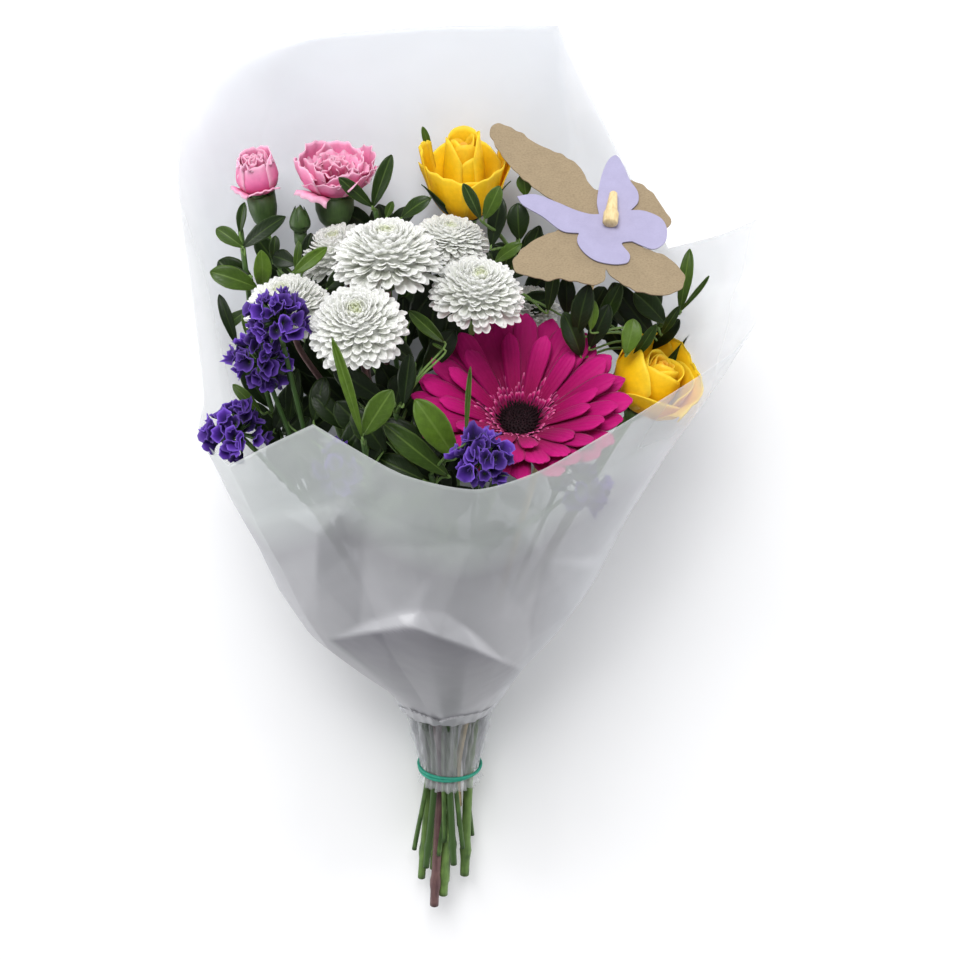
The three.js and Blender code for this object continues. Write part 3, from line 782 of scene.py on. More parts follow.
@dataclass(frozen=True)
class WoodFinish:
    """Pale sanded wood with fine grain."""

    name: str = "pale wood"
    pale: Colour = (214, 194, 148)
    grain: Colour = (196, 172, 126)

    def make(self) -> Material:
        """Builds the material."""
        shader = Shader(self.name)
        streak = shader.noise(0.8, 4.0, (1.0, 0.1, 0.35))
        colour = shader.mix(shader.scale(streak, 0.4, 0.7, 0.0, 1.0), self.pale, self.grain)
        return shader.close(shader.surface(colour, 0.6, 0.3, shader.bump(streak, 0.4, 0.1)))


@dataclass(frozen=True)
class PlainFinish:
    """A plain finish with a little mottling: elastic, the flower's dark disc, the floor."""

    name: str
    colour: Colour
    mottle: Colour
    size: float = 2.0
    roughness: float = 0.6
    specular: float = 0.4
    depth: float = 0.1

    def make(self) -> Material:
        """Builds the material."""
        shader = Shader(self.name)
        cloud = shader.noise(self.size, 4.0)
        colour = shader.mix(shader.scale(cloud, 0.35, 0.65, 0.0, 1.0), self.colour, self.mottle)
        normal = shader.bump(cloud, 0.5, self.depth)
        return shader.close(shader.surface(colour, self.roughness, self.specular, normal))


GERBERA_PETAL = PetalFinish(
    "gerbera petal",
    ((0.0, (96, 0, 40)), (0.4, (152, 0, 80)), (0.8, (182, 4, 108)), (1.0, (196, 14, 120))),
    (120, 0, 56), 0.05, 0.3, (204, 30, 132), 0.3, roughness=0.62, specular=0.2, sheen=0.06, veins=5.0,
    vein_depth=0.2, lets_through=0.2,
)
GERBERA_FLORET = PetalFinish(
    "gerbera floret",
    ((0.0, (92, 0, 44)), (0.6, (160, 4, 90)), (0.8, (196, 20, 110)), (1.0, (240, 130, 180))),
    (120, 0, 60), 0.05, 0.3, (232, 120, 184), 0.4, roughness=0.6, specular=0.2, sheen=0.06, veins=2.0,
)
# The deep orange heart and darker petal feet: partly the rose's own warmer centre, partly painted shade
# inside the bloom.
ROSE_PETAL = PetalFinish(
    "rose petal",
    ((0.0, (232, 166, 12)), (0.3, (248, 196, 14)), (0.75, (252, 210, 24)), (1.0, (252, 220, 46))),
    (236, 118, 4), 0.42, 0.85, (252, 230, 84), 0.4, roughness=0.45, specular=0.25, sheen=0.0, veins=14.0,
    vein_depth=0.06, lets_through=0.34, tint=0.04,
)
CARNATION_PETAL = PetalFinish(
    "carnation petal", ((0.0, (230, 84, 148)), (0.45, (238, 112, 172)), (1.0, (248, 176, 212))),
    (220, 70, 136), 0.45, 0.6, (253, 222, 236), 0.65, roughness=0.65, sheen=0.1, veins=9.0, vein_depth=0.1,
    lets_through=0.36, tint=0.05,
)
CHRYSANTHEMUM_PETAL = PetalFinish(
    "chrysanthemum petal", ((0.0, (230, 234, 214)), (0.3, (244, 246, 238)), (1.0, (252, 252, 250))),
    (216, 226, 140), 0.2, 0.8, (254, 254, 253), 0.4, roughness=0.6, specular=0.2, sheen=0.0, veins=4.0,
    vein_depth=0.05, lets_through=0.4, tint=0.02, soft=0.6,
)
STATICE_PETAL = PetalFinish(
    "statice petal",
    ((0.0, (26, 16, 56)), (0.45, (42, 16, 92)), (0.85, (70, 30, 134)), (1.0, (108, 68, 174))),
    (34, 20, 84), 0.05, 0.2, (122, 92, 200), 0.5, roughness=0.75, sheen=0.1, veins=10.0, vein_depth=0.15,
    lets_through=0.3, tint=0.4,
)


class Palette:
    """Every finish, made once."""

    def __init__(self) -> None:
        """Makes the finishes."""
        self.gerbera = GERBERA_PETAL.make()
        self.floret = GERBERA_FLORET.make()
        self.rose = ROSE_PETAL.make()
        self.carnation = CARNATION_PETAL.make()
        self.chrysanthemum = CHRYSANTHEMUM_PETAL.make()
        self.statice = STATICE_PETAL.make()
        self.leaf = LeafFinish().make()
        self.film = FilmFinish().make()
        self.wood = WoodFinish().make()
        self.stem = StemFinish("green stem", (52, 78, 34), (112, 142, 74)).make()
        self.brown = StemFinish("brown stem", (74, 50, 54), (116, 88, 84)).make()
        self.calyx = StemFinish("calyx green", (38, 56, 26), (64, 88, 42)).make()
        self.kraft = CardFinish("kraft card", (147, 131, 106), (119, 103, 83), 0.5).make()
        self.lilac = CardFinish("lilac card", (158, 154, 182), (147, 143, 172), 0.25).make()
        self.elastic = PlainFinish("elastic", (22, 118, 98), (34, 142, 118), 1.2, 0.55).make()
        self.disc = PlainFinish("gerbera disc", (14, 4, 8), (34, 10, 18), 1.0, 0.8, 0.2, 0.4).make()
        self.floor = PlainFinish("floor", (244, 244, 245), (242, 242, 243), 600.0, 0.9, 0.05, 0.0).make()


# ---------------------------------------------------------------- petals, leaves and stems
BLADE_STEPS = 40  # steps in which a blade's curve along its length is worked out


@dataclass(frozen=True)
class Blade:
    """One petal or leaf before it is placed: x across, y out from its foot, z off its face."""

    length: float
    width: float
    outline: Curve  # share of its half width at each share of its length
    pitch: Curve  # degrees it leans off straight, at each share of its length
    cup: Curve = ((0.0, 0.0), (1.0, 0.0))  # degrees that its edges turn up
    tip_round: float = 0.0  # share of its length that its tip's corners are drawn back
    ruffle: float = 0.0
    waves: float = 3.0
    phase: float = 0.0
    teeth: float = 0.0
    tooth_count: float = 5.0
    fold: float = 0.0  # degrees that each half turns up along the midrib
    groove: float = 0.0
    twist: float = 0.0
    sway: float = 0.0
    tip_bias: float = 1.3

    def shape(self, sheet: Sheet) -> tuple[Array, Array]:
        """Shapes the blade from a flat sheet.

        Args:
            sheet: The sheet.

        Returns:
            Its corners, and each one's share of the length.
        """
        u, v = sheet.u, 1 - (1 - sheet.v) ** self.tip_bias
        stops = np.linspace(0, 1, BLADE_STEPS + 1)
        lean = np.radians(read_curve(self.pitch, (stops[1:] + stops[:-1]) / 2))
        step = self.length / BLADE_STEPS
        out = np.concatenate(((0.0,), np.cumsum(np.cos(lean) * step)))
        rise = np.concatenate(((0.0,), np.cumsum(np.sin(lean) * step)))
        tilt = np.radians(read_curve(self.pitch, v))
        half = self.width / 2 * read_curve(self.outline, v)
        bend = np.radians(read_curve(self.cup, v))
        bend = np.where(np.abs(bend) < 1e-3, 1e-3, bend)
        x = half * np.sin(bend * u) / bend
        off = half * (1 - np.cos(bend * u)) / bend
        off += np.abs(x) * math.tan(math.radians(self.fold))
        off += self.groove * self.width * np.cos(3 * math.pi * u) * smooth(0.0, 0.3, v) * 0.5
        off += self.ruffle * self.length * np.sin(self.waves * math.pi * u + self.phase) * v**2
        turn = np.radians(self.twist) * v
        x, off = x * np.cos(turn) - off * np.sin(turn), x * np.sin(turn) + off * np.cos(turn)
        x = x + self.sway * self.length * v * v
        back = self.tip_round * self.length * u**2 * v**4
        back -= self.teeth * self.length * np.abs(((u * self.tooth_count + self.phase) % 2) - 1) * v**7
        y = np.interp(v, stops, out) - off * np.sin(tilt) - back * np.cos(tilt)
        z = np.interp(v, stops, rise) + off * np.cos(tilt) - back * np.sin(tilt)
        return np.column_stack((x, y, z)), v


def rod(path: Array, radius: float | Array, sides: int) -> Solid:
    """A closed round rod along a path.

    Args:
        path: Points along its middle.
        radius: One radius, or one at each point.
        sides: Corners round it.

    Returns:
        Its corners, faces, and along and across facts.
    """
    radii = np.broadcast_to(np.asarray(radius, float), (len(path),))
    ways = np.gradient(path, axis=0)
    ways /= np.linalg.norm(ways, axis=1)[:, None]
    side = unit(np.cross(ways[0], (0.3, 0.1, 1.0)))
    angles = np.linspace(0, 2 * math.pi, sides, endpoint=False)
    corners = []
    for point, way, size in zip(path, ways, radii):
        side = unit(side - np.dot(side, way) * way)
        other = np.cross(way, side)
        corners.append(point + size * (np.cos(angles)[:, None] * side + np.sin(angles)[:, None] * other))
    faces: list[tuple[int, ...]] = []
    for ring in range(len(path) - 1):
        for turn in range(sides):
            first, second = ring * sides + turn, ring * sides + (turn + 1) % sides
            faces.append((first, second, second + sides, first + sides))
    faces.append(tuple(range(sides))[::-1])
    faces.append(tuple(range((len(path) - 1) * sides, len(path) * sides)))
    along = np.repeat(np.linspace(0, 1, len(path)), sides)
    across = np.tile(np.linspace(-1, 1, sides), len(path))
    return np.vstack(corners), faces, along, across


def swollen(path: Array, radius: float, nodes: Sequence[float], swell: float = 0.3) -> Array:
    """Radii of a stem that swells at its nodes.

    Args:
        path: Points along the stem.
        radius: Its plain radius.
        nodes: Shares of its length where it swells.
        swell: How much.

    Returns:
        A radius at each point.
    """
    reach = np.concatenate(((0.0,), np.cumsum(np.linalg.norm(np.diff(path, axis=0), axis=1))))
    made = np.full(len(path), radius)
    for node in nodes:
        made += radius * swell * np.exp(-(((reach - node * reach[-1]) / (1.4 * radius)) ** 2))
    return made


SLOT_PITCH = 5.5
THINNEST = 0.02  # radius of a turned shape's end, so that its corners stay apart
LEAD_PAST_TIE, SPREAD_PAST_TIE = 22.0, 0.12


@dataclass(frozen=True)
class Route:
    """How a stem runs: its slot in the tie, its cut end, its bends and its thickness."""

    slot: tuple[float, float]
    radius: float
    end: tuple[float, float]
    via: tuple[Point, ...]

    def path(self, rest: Sequence[Sequence[float]] = (), step: float = 3.0) -> Array:
        """The stem's middle line from its cut end on.

        Args:
            rest: Points past its bends.
            step: Distance between points.

        Returns:
            Points along it.
        """
        ring, clock = self.slot
        angle = math.radians(clock)
        knot = TIE + ring * SLOT_PITCH * np.array((math.cos(angle), 0.0, math.sin(angle)))
        bends = [np.array(point, float) for point in (*self.via, *rest)]
        lead = knot + np.array((0.0, LEAD_PAST_TIE, 0.0)) + SPREAD_PAST_TIE * (bends[0] - knot) * (1, 0, 1)
        foot = np.array((knot[0] + self.end[0], self.end[1], knot[2]))
        return spline([foot, knot, lead, *bends], step)


ROUTES = {
    "gerbera": Route((0, 0), 2.5, (-4, -267), ((-8, -60, 46), (12, 12, 68))),
    "yellow_rose_top": Route((1, 270), 2.5, (-3, -262), ((-14, -60, 16), (-8, 60, 22))),
    "yellow_rose_right": Route((2, 345), 2.5, (-3, -256), ((14, -100, 29), (56, 0, 48))),
    "carnation": Route((2, 195), 2.1, (-5, -258), ((-40, -90, 22), (-70, 20, 30))),
    "chrysanthemum_left": Route((1, 150), 2.4, (-4, -272), ((-30, -90, 38), (-46, 10, 56))),
    "chrysanthemum_right": Route((1, 210), 2.4, (-4, -252), ((-20, -80, 26), (-10, 20, 36))),
    "statice_left": Route((2, 135), 1.8, (-5, -244), ((-40, -100, 52), (-72, -10, 84))),
    "statice_front": Route((2, 90), 1.8, (2, -240), ((-15, -130, 46), (-6, -60, 82), (2, -10, 106))),
}


@dataclass(frozen=True)
class Head:
    """A flower head: its middle, the way it faces and its radius."""

    at: Point
    facing: Point
    radius: float

    def along(self, distance: float) -> Array:
        """A point on its axis."""
        return np.asarray(self.at, float) + distance * unit(self.facing)

    @property
    def axis(self) -> Array:
        """The way it faces, one long."""
        return unit(self.facing)

    def side(self, angle: float) -> Array:
        """The way out from its axis: the angle runs from straight up to the right."""
        _, top, right = head_axes(self.facing)
        return math.cos(angle) * top + math.sin(angle) * right

    def around(self, angle: float, distance: float, height: float) -> Array:
        """A point beside its axis, by the angle that side takes."""
        return np.asarray(self.at, float) + distance * self.side(angle) + height * self.axis

    def turned(self, profile: Sequence[tuple[float, float]], sides: int) -> Solid:
        """A closed turned shape round its axis.

        Args:
            profile: (radius, height) pairs, from one end to the other.
            sides: Corners round it.

        Returns:
            Its corners, faces, and along and across facts.
        """
        _, top, right = head_axes(self.facing)
        angles = np.linspace(0, 2 * math.pi, sides, endpoint=False)
        ring = np.cos(angles)[:, None] * top + np.sin(angles)[:, None] * right
        corners = np.vstack([self.along(height) + max(radius, THINNEST) * ring for radius, height in profile])
        _, faces, along, across = rod(np.array([(0, 0, float(i)) for i in range(len(profile))]), 1.0, sides)
        return corners, faces, along, across


GERBERA = Head((18, 40.8, 87.4), (0, 0.89, 0.45), 47)
ROSES = {
    "yellow_rose_top": Head((-7, 138, 31), (-0.03, 1, 0.05), 19),
    "yellow_rose_right": Head((81, 55, 68), (0.48, 0.86, 0.1), 18.8),
}
CARNATIONS = {
    "pink_carnation_small": Head((-102, 138, 34), (-0.12, 0.98, 0.12), 9.5),
    "pink_carnation_large": Head((-67, 141, 36), (0.02, 0.99, 0.12), 16.2),
}
CARNATION_BUD = Head((-83, 122, 42), (0, 0.99, 0.12), 5)
CHRYSANTHEMUMS = {
    1: Head((-65, 111, 51), (-0.25, 0.95, 0.15), 17),
    2: Head((-41, 123, 90), (0, 0.99, 0.09), 22.5),
    3: Head((-14, 122, 62), (0.1, 0.98, 0.12), 17),
    4: Head((-1, 108, 95), (0.12, 0.94, 0.28), 19.5),
    5: Head((-53, 103, 122), (-0.05, 0.88, 0.46), 20),
    6: Head((-87, 96, 82), (-0.2, 0.95, 0.2), 18.5),
    7: Head((24, 78, 34), (0.1, 0.97, 0.2), 13),
}
FLATTER = {3: 0.68}  # domes that are lower than the others
DETOURS = {4: ((-10, 74, 42), (-4, 92, 66))}  # where a twig bends on its way to its flower


@dataclass
class Flower:
    """What every flower shares."""

    palette: Palette
    seed: int

    def __post_init__(self) -> None:
        """Starts this flower's own random numbers."""
        self.chance = np.random.default_rng(self.seed)

    def vary(self, spread: float) -> float:
        """A random number from -spread to spread."""
        return float(self.chance.uniform(-spread, spread))

    def draw(self) -> float:
        """A random number from 0 to 1."""
        return float(self.chance.random())


@dataclass
class Gerbera(Flower):
    """The magenta gerbera: two rows of ray petals, rings of small florets and a dark disc."""

    head: Head = GERBERA
    rays: tuple[tuple[int, float, float, float, float], ...] = (
        (24, 49.0, 12.6, 0.0, 0.0),  # count, reach, width, lift of the row, half a step round
        (20, 46.5, 11.8, 6.0, 0.5),
        (12, 39.0, 9.0, 12.0, 0.25),
    )
    florets: tuple[tuple[int, float, float, float], ...] = (
        (76, 19.5, 8.5, 30.0),  # count, radius of their feet, length, pitch
        (66, 16.8, 9.0, 36.0),
        (58, 14.4, 8.5, 44.0),
        (52, 12.0, 7.0, 54.0),
        (46, 10.6, 5.6, 62.0),
    )
    filaments: int = 190
    bracts: int = 40

    def ray_row(self, bunch: Bunch, row: tuple[int, float, float, float, float]) -> None:
        """Adds one row of ray petals.

        Args:
            bunch: Where to add them.
            row: The row's numbers.
        """
        count, reach, width, lift, offset = row
        sheet = Bench.sheet(8, 14)
        foot = 5.0
        for number in range(count):
            angle = 2 * math.pi * (number + offset + self.vary(0.22)) / count
            length = (reach - foot) * (1.12 + self.vary(0.04))
            pitch = lift + self.vary(3.0)
            blade = Blade(
                length, width * (1 + self.vary(0.1)),
                ((0, 0.26), (0.2, 0.5), (0.5, 0.84), (0.75, 1.0), (0.9, 0.94), (0.97, 0.72), (1, 0.42)),
                ((0, pitch + 26), (0.4, pitch + 31), (0.75, pitch + 27), (1, pitch + 12 + self.vary(9))),
                ((0, 34), (0.4, -10), (1, -26)),
                tip_round=0.045, groove=0.035, twist=self.vary(8), sway=self.vary(0.035), tip_bias=1.6,
            )
            spot = self.head.around(angle, foot, -0.5 + lift * 0.06)
            axes = rows(self.head.side(angle), self.head.axis)
            bunch.add_blade(blade, sheet, spot, axes, 1.0, self.draw())

    def build(self) -> None:
        """Builds the petals, the disc, and the stem with its cup."""
        petals, frill = Bunch(), Bunch()
        for row in self.rays:
            self.ray_row(petals, row)
        sheet = Bench.sheet(2, 5)
        for count, foot, length, pitch in self.florets:
            for number in range(count):
                angle = 2 * math.pi * (number + self.vary(0.35)) / count
                lean = pitch + self.vary(8)
                blade = Blade(
                    length * (1 + self.vary(0.2)), 2.1, ((0, 0.5), (0.5, 1.0), (0.8, 0.8), (1, 0.3)),
                    ((0, lean), (0.6, lean + 4), (1, lean - 30 + self.vary(25))),
                    ((0, 50), (1, 30)), twist=self.vary(40),
                )
                spot = self.head.around(angle, foot, 1.8 + 0.52 * (foot - 7))
                axes = rows(self.head.side(angle), self.head.axis)
                frill.add_blade(blade, sheet, spot, axes, tint=self.draw())
        assemble(
            "gerbera_petals_fine", "gerbera_petal", "gerbera_petals",
            (petals, self.palette.gerbera, 0.5), (frill, self.palette.floret, 0.3),
        )
        self.build_disc()
        self.build_stem()

    def build_disc(self) -> None:
        """Builds the dark disc and its close-set filaments."""
        disc = Bunch()
        dome = ((0, -1), (6, -1), (8.8, 0.4), (9.6, 2.2), (8.4, 4.4), (5, 5.8), (0, 5.6))
        disc.add(*self.head.turned(dome, 28))
        for number in range(self.filaments):
            share = math.sqrt((number + 0.5) / self.filaments)
            angle = number * GOLDEN_ANGLE
            foot = self.head.around(angle, 9.8 * share, 5.2 - 2.6 * share**3)
            spread = self.head.side(angle) * (0.15 + 0.75 * share**2)
            way = unit(self.head.axis + spread + self.chance.uniform(-0.2, 0.2, 3))
            tip = foot + way * (1.6 + 1.6 * share + self.vary(0.5))
            disc.add(*rod(np.array((foot, (foot + tip) / 2, tip)), np.array((0.5, 0.42, 0.16)), 4))
        place(disc.make("gerbera_disc_fine", self.palette.disc), "gerbera_disc")

    def build_stem(self) -> None:
        """Builds the stem and the cup of bracts behind the flower."""
        stem, bracts = Bunch(), Bunch()
        path = ROUTES["gerbera"].path((self.head.along(-19.9), self.head.along(-7.9)))
        stem.add(*rod(path, swollen(path, 2.5, (0.04,)), 14))
        cup = ((0, -9.4), (3.0, -9.2), (5.6, -5.4), (7.0, -1.6), (6.4, -1.36), (0, -1.36))
        stem.add(*self.head.turned(cup, 24), tint=0.4)
        blade = Blade(6.0, 2.2, ((0, 1), (0.5, 0.9), (1, 0.1)), ((0, -50), (1, -20)), ((0, 30), (1, 30)))
        for number in range(self.bracts):
            angle = number * GOLDEN_ANGLE
            depth = -7.5 + 4.5 * number / self.bracts
            foot = self.head.around(angle, 4.0 + 3.0 * number / self.bracts, depth)
            axes = rows(self.head.axis, -self.head.side(angle))
            bracts.add_blade(blade, Bench.sheet(2, 5), foot, axes, tint=0.4)
        assemble(
            "gerbera_stem_fine", "green_stem", "gerbera_stem",
            (stem, self.palette.stem, 0.0), (bracts, self.palette.calyx, 0.4),
        )


@dataclass(frozen=True)
class WrapPetal:
    """A petal wrapped round a flower's axis: angles in degrees, sizes as shares of its radius."""

    angle: float
    span: float
    reach: float
    top: float
    flare: float = 0.0
    lean: float = 0.0  # how much higher its right corner is
    corner: float = 0.3  # how far its upper corners are rounded off
    close: float = 0.0  # how far it closes in towards its top
    wave: float = 0.008  # how much its rim waves

    def shape(self, head: Head, sheet: Sheet, foot: float, body: Curve, phase: float) -> Array:
        """Shapes the petal.

        Args:
            head: The flower.
            sheet: The flat sheet that it is made from.
            foot: How far down the axis it starts, as a share of the radius.
            body: The flower's outline: radius at each height over its foot, as shares.
            phase: Where its waves start.

        Returns:
            Its corners.
        """
        u, v, radius = sheet.u, sheet.v, head.radius
        edge = 1 - self.corner * np.abs(u) ** 2.6 + 0.5 * self.lean * u
        rise = (self.top - foot) * v * edge
        reach = self.reach * read_curve(body, rise) * (1 - self.close * smooth(0.4, 1.0, v) * edge)
        outer = smooth(0.7, 1.0, np.abs(u)) * smooth(0.3, 0.9, v)
        reach += self.flare * smooth(0.6, 1.0, v) + 0.7 * max(self.flare, 0.0) * outer
        reach += self.wave * np.sin(3.2 * math.pi * u + phase) * v**2
        reach += 0.01 * np.sin(7 * u + 3 * v + phase)
        rise = rise + 0.6 * self.wave * np.sin(4.3 * math.pi * u + 1.7 * phase) * v**3
        rise -= smooth(0.9, 1.0, v) * max(self.flare, 0.015) * 0.9
        angle = np.radians(self.angle + self.span / 2 * u * (0.72 + 0.28 * smooth(0, 0.4, v)))
        axis, top, right = head_axes(head.facing)
        side = np.cos(angle)[:, None] * top + np.sin(angle)[:, None] * right
        drift = 0.02 * smooth(0.0, 1.0, u)
        return (
            np.asarray(head.at, float)
            + side * (radius * (reach + drift))[:, None]
            + (radius * (foot + rise))[:, None] * axis
        )


def wraps(*petals: tuple[float, ...]) -> tuple[WrapPetal, ...]:
    """A petal for each row of numbers, which are in the order of WrapPetal's fields."""
    return tuple(WrapPetal(*petal) for petal in petals)


ROSE_BODIES: dict[str, Curve] = {
    "yellow_rose_top": (
        (0, 0.26), (0.2, 0.56), (0.5, 0.77), (0.85, 0.9), (1.3, 0.98), (1.8, 1.02), (2.2, 1.04),
    ),
    "yellow_rose_right": (
        (0, 0.24), (0.2, 0.62), (0.5, 0.88), (0.85, 1.0), (1.3, 1.0), (1.8, 0.9), (2.2, 0.8),
    ),
}
ROSE_PETALS = {
    "yellow_rose_top": wraps(
        (-40, 92, 0.99, 0.58, 0.05, -0.2, 0.06, 0.0, 0.03),
        (46, 100, 0.97, 0.54, 0.06, 0.34, 0.08, 0.0, 0.03),
        (-98, 66, 0.98, 1.02, 0.04, 0.06, 0.04, 0.0, 0.03),
        (100, 72, 1.04, 0.74, 0.1, 0.1, 0.08, 0.0, 0.02), (180, 130, 0.94, 0.84, 0.05),
        (8, 90, 0.86, 0.34, 0.02), (-84, 156, 0.56, 1.2, 0.01, 0.1, 0.3, 0.3),
        (102, 140, 0.54, 1.3, 0.0, -0.1, 0.3, 0.3), (180, 190, 0.5, 1.34, 0.0, 0.0, 0.24, 0.28),
        (14, 130, 0.5, 0.74, 0.0, 0.3, 0.5, 0.16), (-60, 170, 0.37, 1.18, 0.0, 0.1, 0.3, 0.22),
        (110, 180, 0.32, 1.22, 0.0, 0.0, 0.3, 0.22),
    ),
    "yellow_rose_right": wraps(
        (-84, 150, 1.04, 0.66, 0.0, 0.24, 0.5, 0.1, 0.02),
        (80, 116, 1.16, 1.0, 0.3, 0.2, 0.3, 0.0, 0.05),
        (138, 112, 1.1, 1.06, 0.24, 0.0, 0.3, 0.0, 0.04), (-150, 120, 1.0, 0.8, 0.04, 0.0, 0.3),
        (12, 104, 1.06, 0.06, 0.04, 0.2, 0.3), (100, 130, 0.88, 0.66, 0.04, 0.0, 0.3),
        (-10, 190, 0.66, 0.5, 0.02, 0.1, 0.3, 0.2), (120, 180, 0.62, 0.58, 0.02, -0.1, 0.3, 0.2),
        (-130, 180, 0.58, 0.62, 0.0, 0.0, 0.3, 0.2), (40, 180, 0.45, 0.56, 0.0, 0.0, 0.3, 0.2),
        (200, 190, 0.4, 0.58, 0.0, 0.0, 0.3, 0.2),
    ),
}
# Sepals: angle in degrees, length as a share of the radius, width in millimetres, how far it leans out.
ROSE_SEPALS = {
    "yellow_rose_top": (
        (-50, 1.7, 10, 33), (62, 1.6, 9.5, 33), (10, 0.7, 8.0, 30), (150, 1.2, 8.0, 33), (-130, 1.3, 8.0, 33),
    ),
    "yellow_rose_right": (
        (-80, 1.2, 8.0, 10), (30, 0.9, 8.0, 4), (160, 2.3, 7.0, 8), (100, 1.1, 8.0, 12), (-20, 0.8, 8.0, 6),
    ),
}


@dataclass
class Rose(Flower):
    """A half-open yellow rose on its stem, with its green sepals."""

    name: str = "yellow_rose_top"
    room: "FilmRoom | None" = None
    heart_top: float = 1.0

    def build(self) -> None:
        """Builds the bloom and the stem."""
        head = ROSES[self.name]
        bloom = Bunch()
        sheet = Bench.sheet(16, 14)
        heart = tuple(
            WrapPetal(40 + 137.5 * n, 250 - 12 * n, 0.10 + 0.05 * n, self.heart_top + 0.02 * n, -0.03)
            for n in range(5, -1, -1)
        )
        petals = (*ROSE_PETALS[self.name], *heart)
        for number, petal in enumerate(petals):
            phase = float(self.chance.uniform(0, 6))
            corners = petal.shape(head, sheet, -0.9, ROSE_BODIES[self.name], phase)
            corners = corners if self.room is None else self.room.press(corners)
            ring = 1 - number / len(petals)
            bloom.add(corners, sheet.faces[:, ::-1], sheet.v, sheet.u, ring, self.draw())
        item = bloom.make(f"{self.name}_petals", self.palette.rose, 0.5)
        place(item, f"{self.name}_bloom")
        self.build_stem(head)

    def build_stem(self, head: Head) -> None:
        """Builds the stem, the hip and the sepals.

        Args:
            head: The flower.
        """
        back = 0.9 * head.radius
        stem, sepals = Bunch(), Bunch()
        path = ROUTES[self.name].path((head.along(-back - 16), head.along(-back - 5)))
        stem.add(*rod(path, swollen(path, 2.5, (0.05, 0.5, 0.8)), 14))
        hip = ((0, -back - 7), (2.6, -back - 6.6), (4.6, -back - 3.4), (5.2, -back - 0.6), (0, -back - 0.4))
        stem.add(*head.turned(hip, 20), tint=0.45)
        for angle, size, width, lean in ROSE_SEPALS[self.name]:
            turn = math.radians(angle)
            blade = Blade(
                size * head.radius, width,
                ((0, 0.6), (0.15, 0.95), (0.35, 1.0), (0.7, 0.5), (0.9, 0.14), (1, 0.03)),
                ((0, -72), (0.16, -44), (0.34, -6 - lean), (0.7, -lean), (1, -1.3 * lean + self.vary(8))),
                ((0, 34), (1, 24)), ruffle=0.012, twist=self.vary(10),
            )
            foot, axes = head.around(turn, 4.2, -back - 0.8), rows(head.axis, -head.side(turn))
            sepals.add_blade(blade, Bench.sheet(6, 12), foot, axes, tint=0.2 + self.vary(0.08))
        assemble(
            f"{self.name}_stem_fine", "green_stem", f"{self.name}_stem",
            (stem, self.palette.stem, 0.0), (sepals, self.palette.leaf, 0.4),
        )


CALYX_TIPS = 5
CARNATION_BODY: Curve = ((0, 0.34), (0.15, 0.62), (0.4, 0.9), (0.8, 1.04), (1.4, 1.0), (2.3, 0.84))
CARNATION_CUPS = {
    "pink_carnation_large": wraps(
        (-8, 96, 1.0, 0.34, 0.05, 0.0, 0.3, 0.0, 0.04),
        (-70, 92, 1.02, 0.78, 0.06, 0.1, 0.3, 0.0, 0.05), (64, 84, 1.06, 0.6, 0.1, 0.1, 0.3, 0.0, 0.05),
        (112, 80, 1.04, 0.9, 0.08, 0.0, 0.3, 0.0, 0.06),
        (-130, 100, 0.94, 0.92, 0.0, 0.0, 0.3, 0.06, 0.06),
        (170, 100, 0.92, 0.84, 0.0, 0.0, 0.3, 0.06, 0.06),
        (-38, 60, 1.12, 0.0, 0.2, -0.2, 0.4, 0.0, 0.03), (30, 90, 0.8, 0.56, 0.04, 0.0, 0.3, 0.0, 0.06),
        (-60, 90, 0.76, 0.76, 0.02, 0.0, 0.3, 0.0, 0.06),
        (100, 90, 0.78, 0.8, 0.02, 0.0, 0.3, 0.0, 0.06),
    ),
    "pink_carnation_small": wraps(
        (6, 150, 0.98, 1.3, 0.02, 0.2, 0.2, 0.16, 0.04),
        (-104, 140, 0.98, 1.5, 0.02, 0.1, 0.22, 0.16, 0.04),
        (112, 150, 1.0, 1.78, 0.04, 0.1, 0.22, 0.1, 0.04),
        (-160, 150, 0.94, 1.7, 0.0, 0.0, 0.22, 0.14, 0.05),
        (-58, 70, 1.1, 0.26, 0.22, -0.2, 0.3, 0.0, 0.05),
        (18, 84, 1.08, 0.2, 0.12, 0.1, 0.3, 0.0, 0.05),
    ),
}


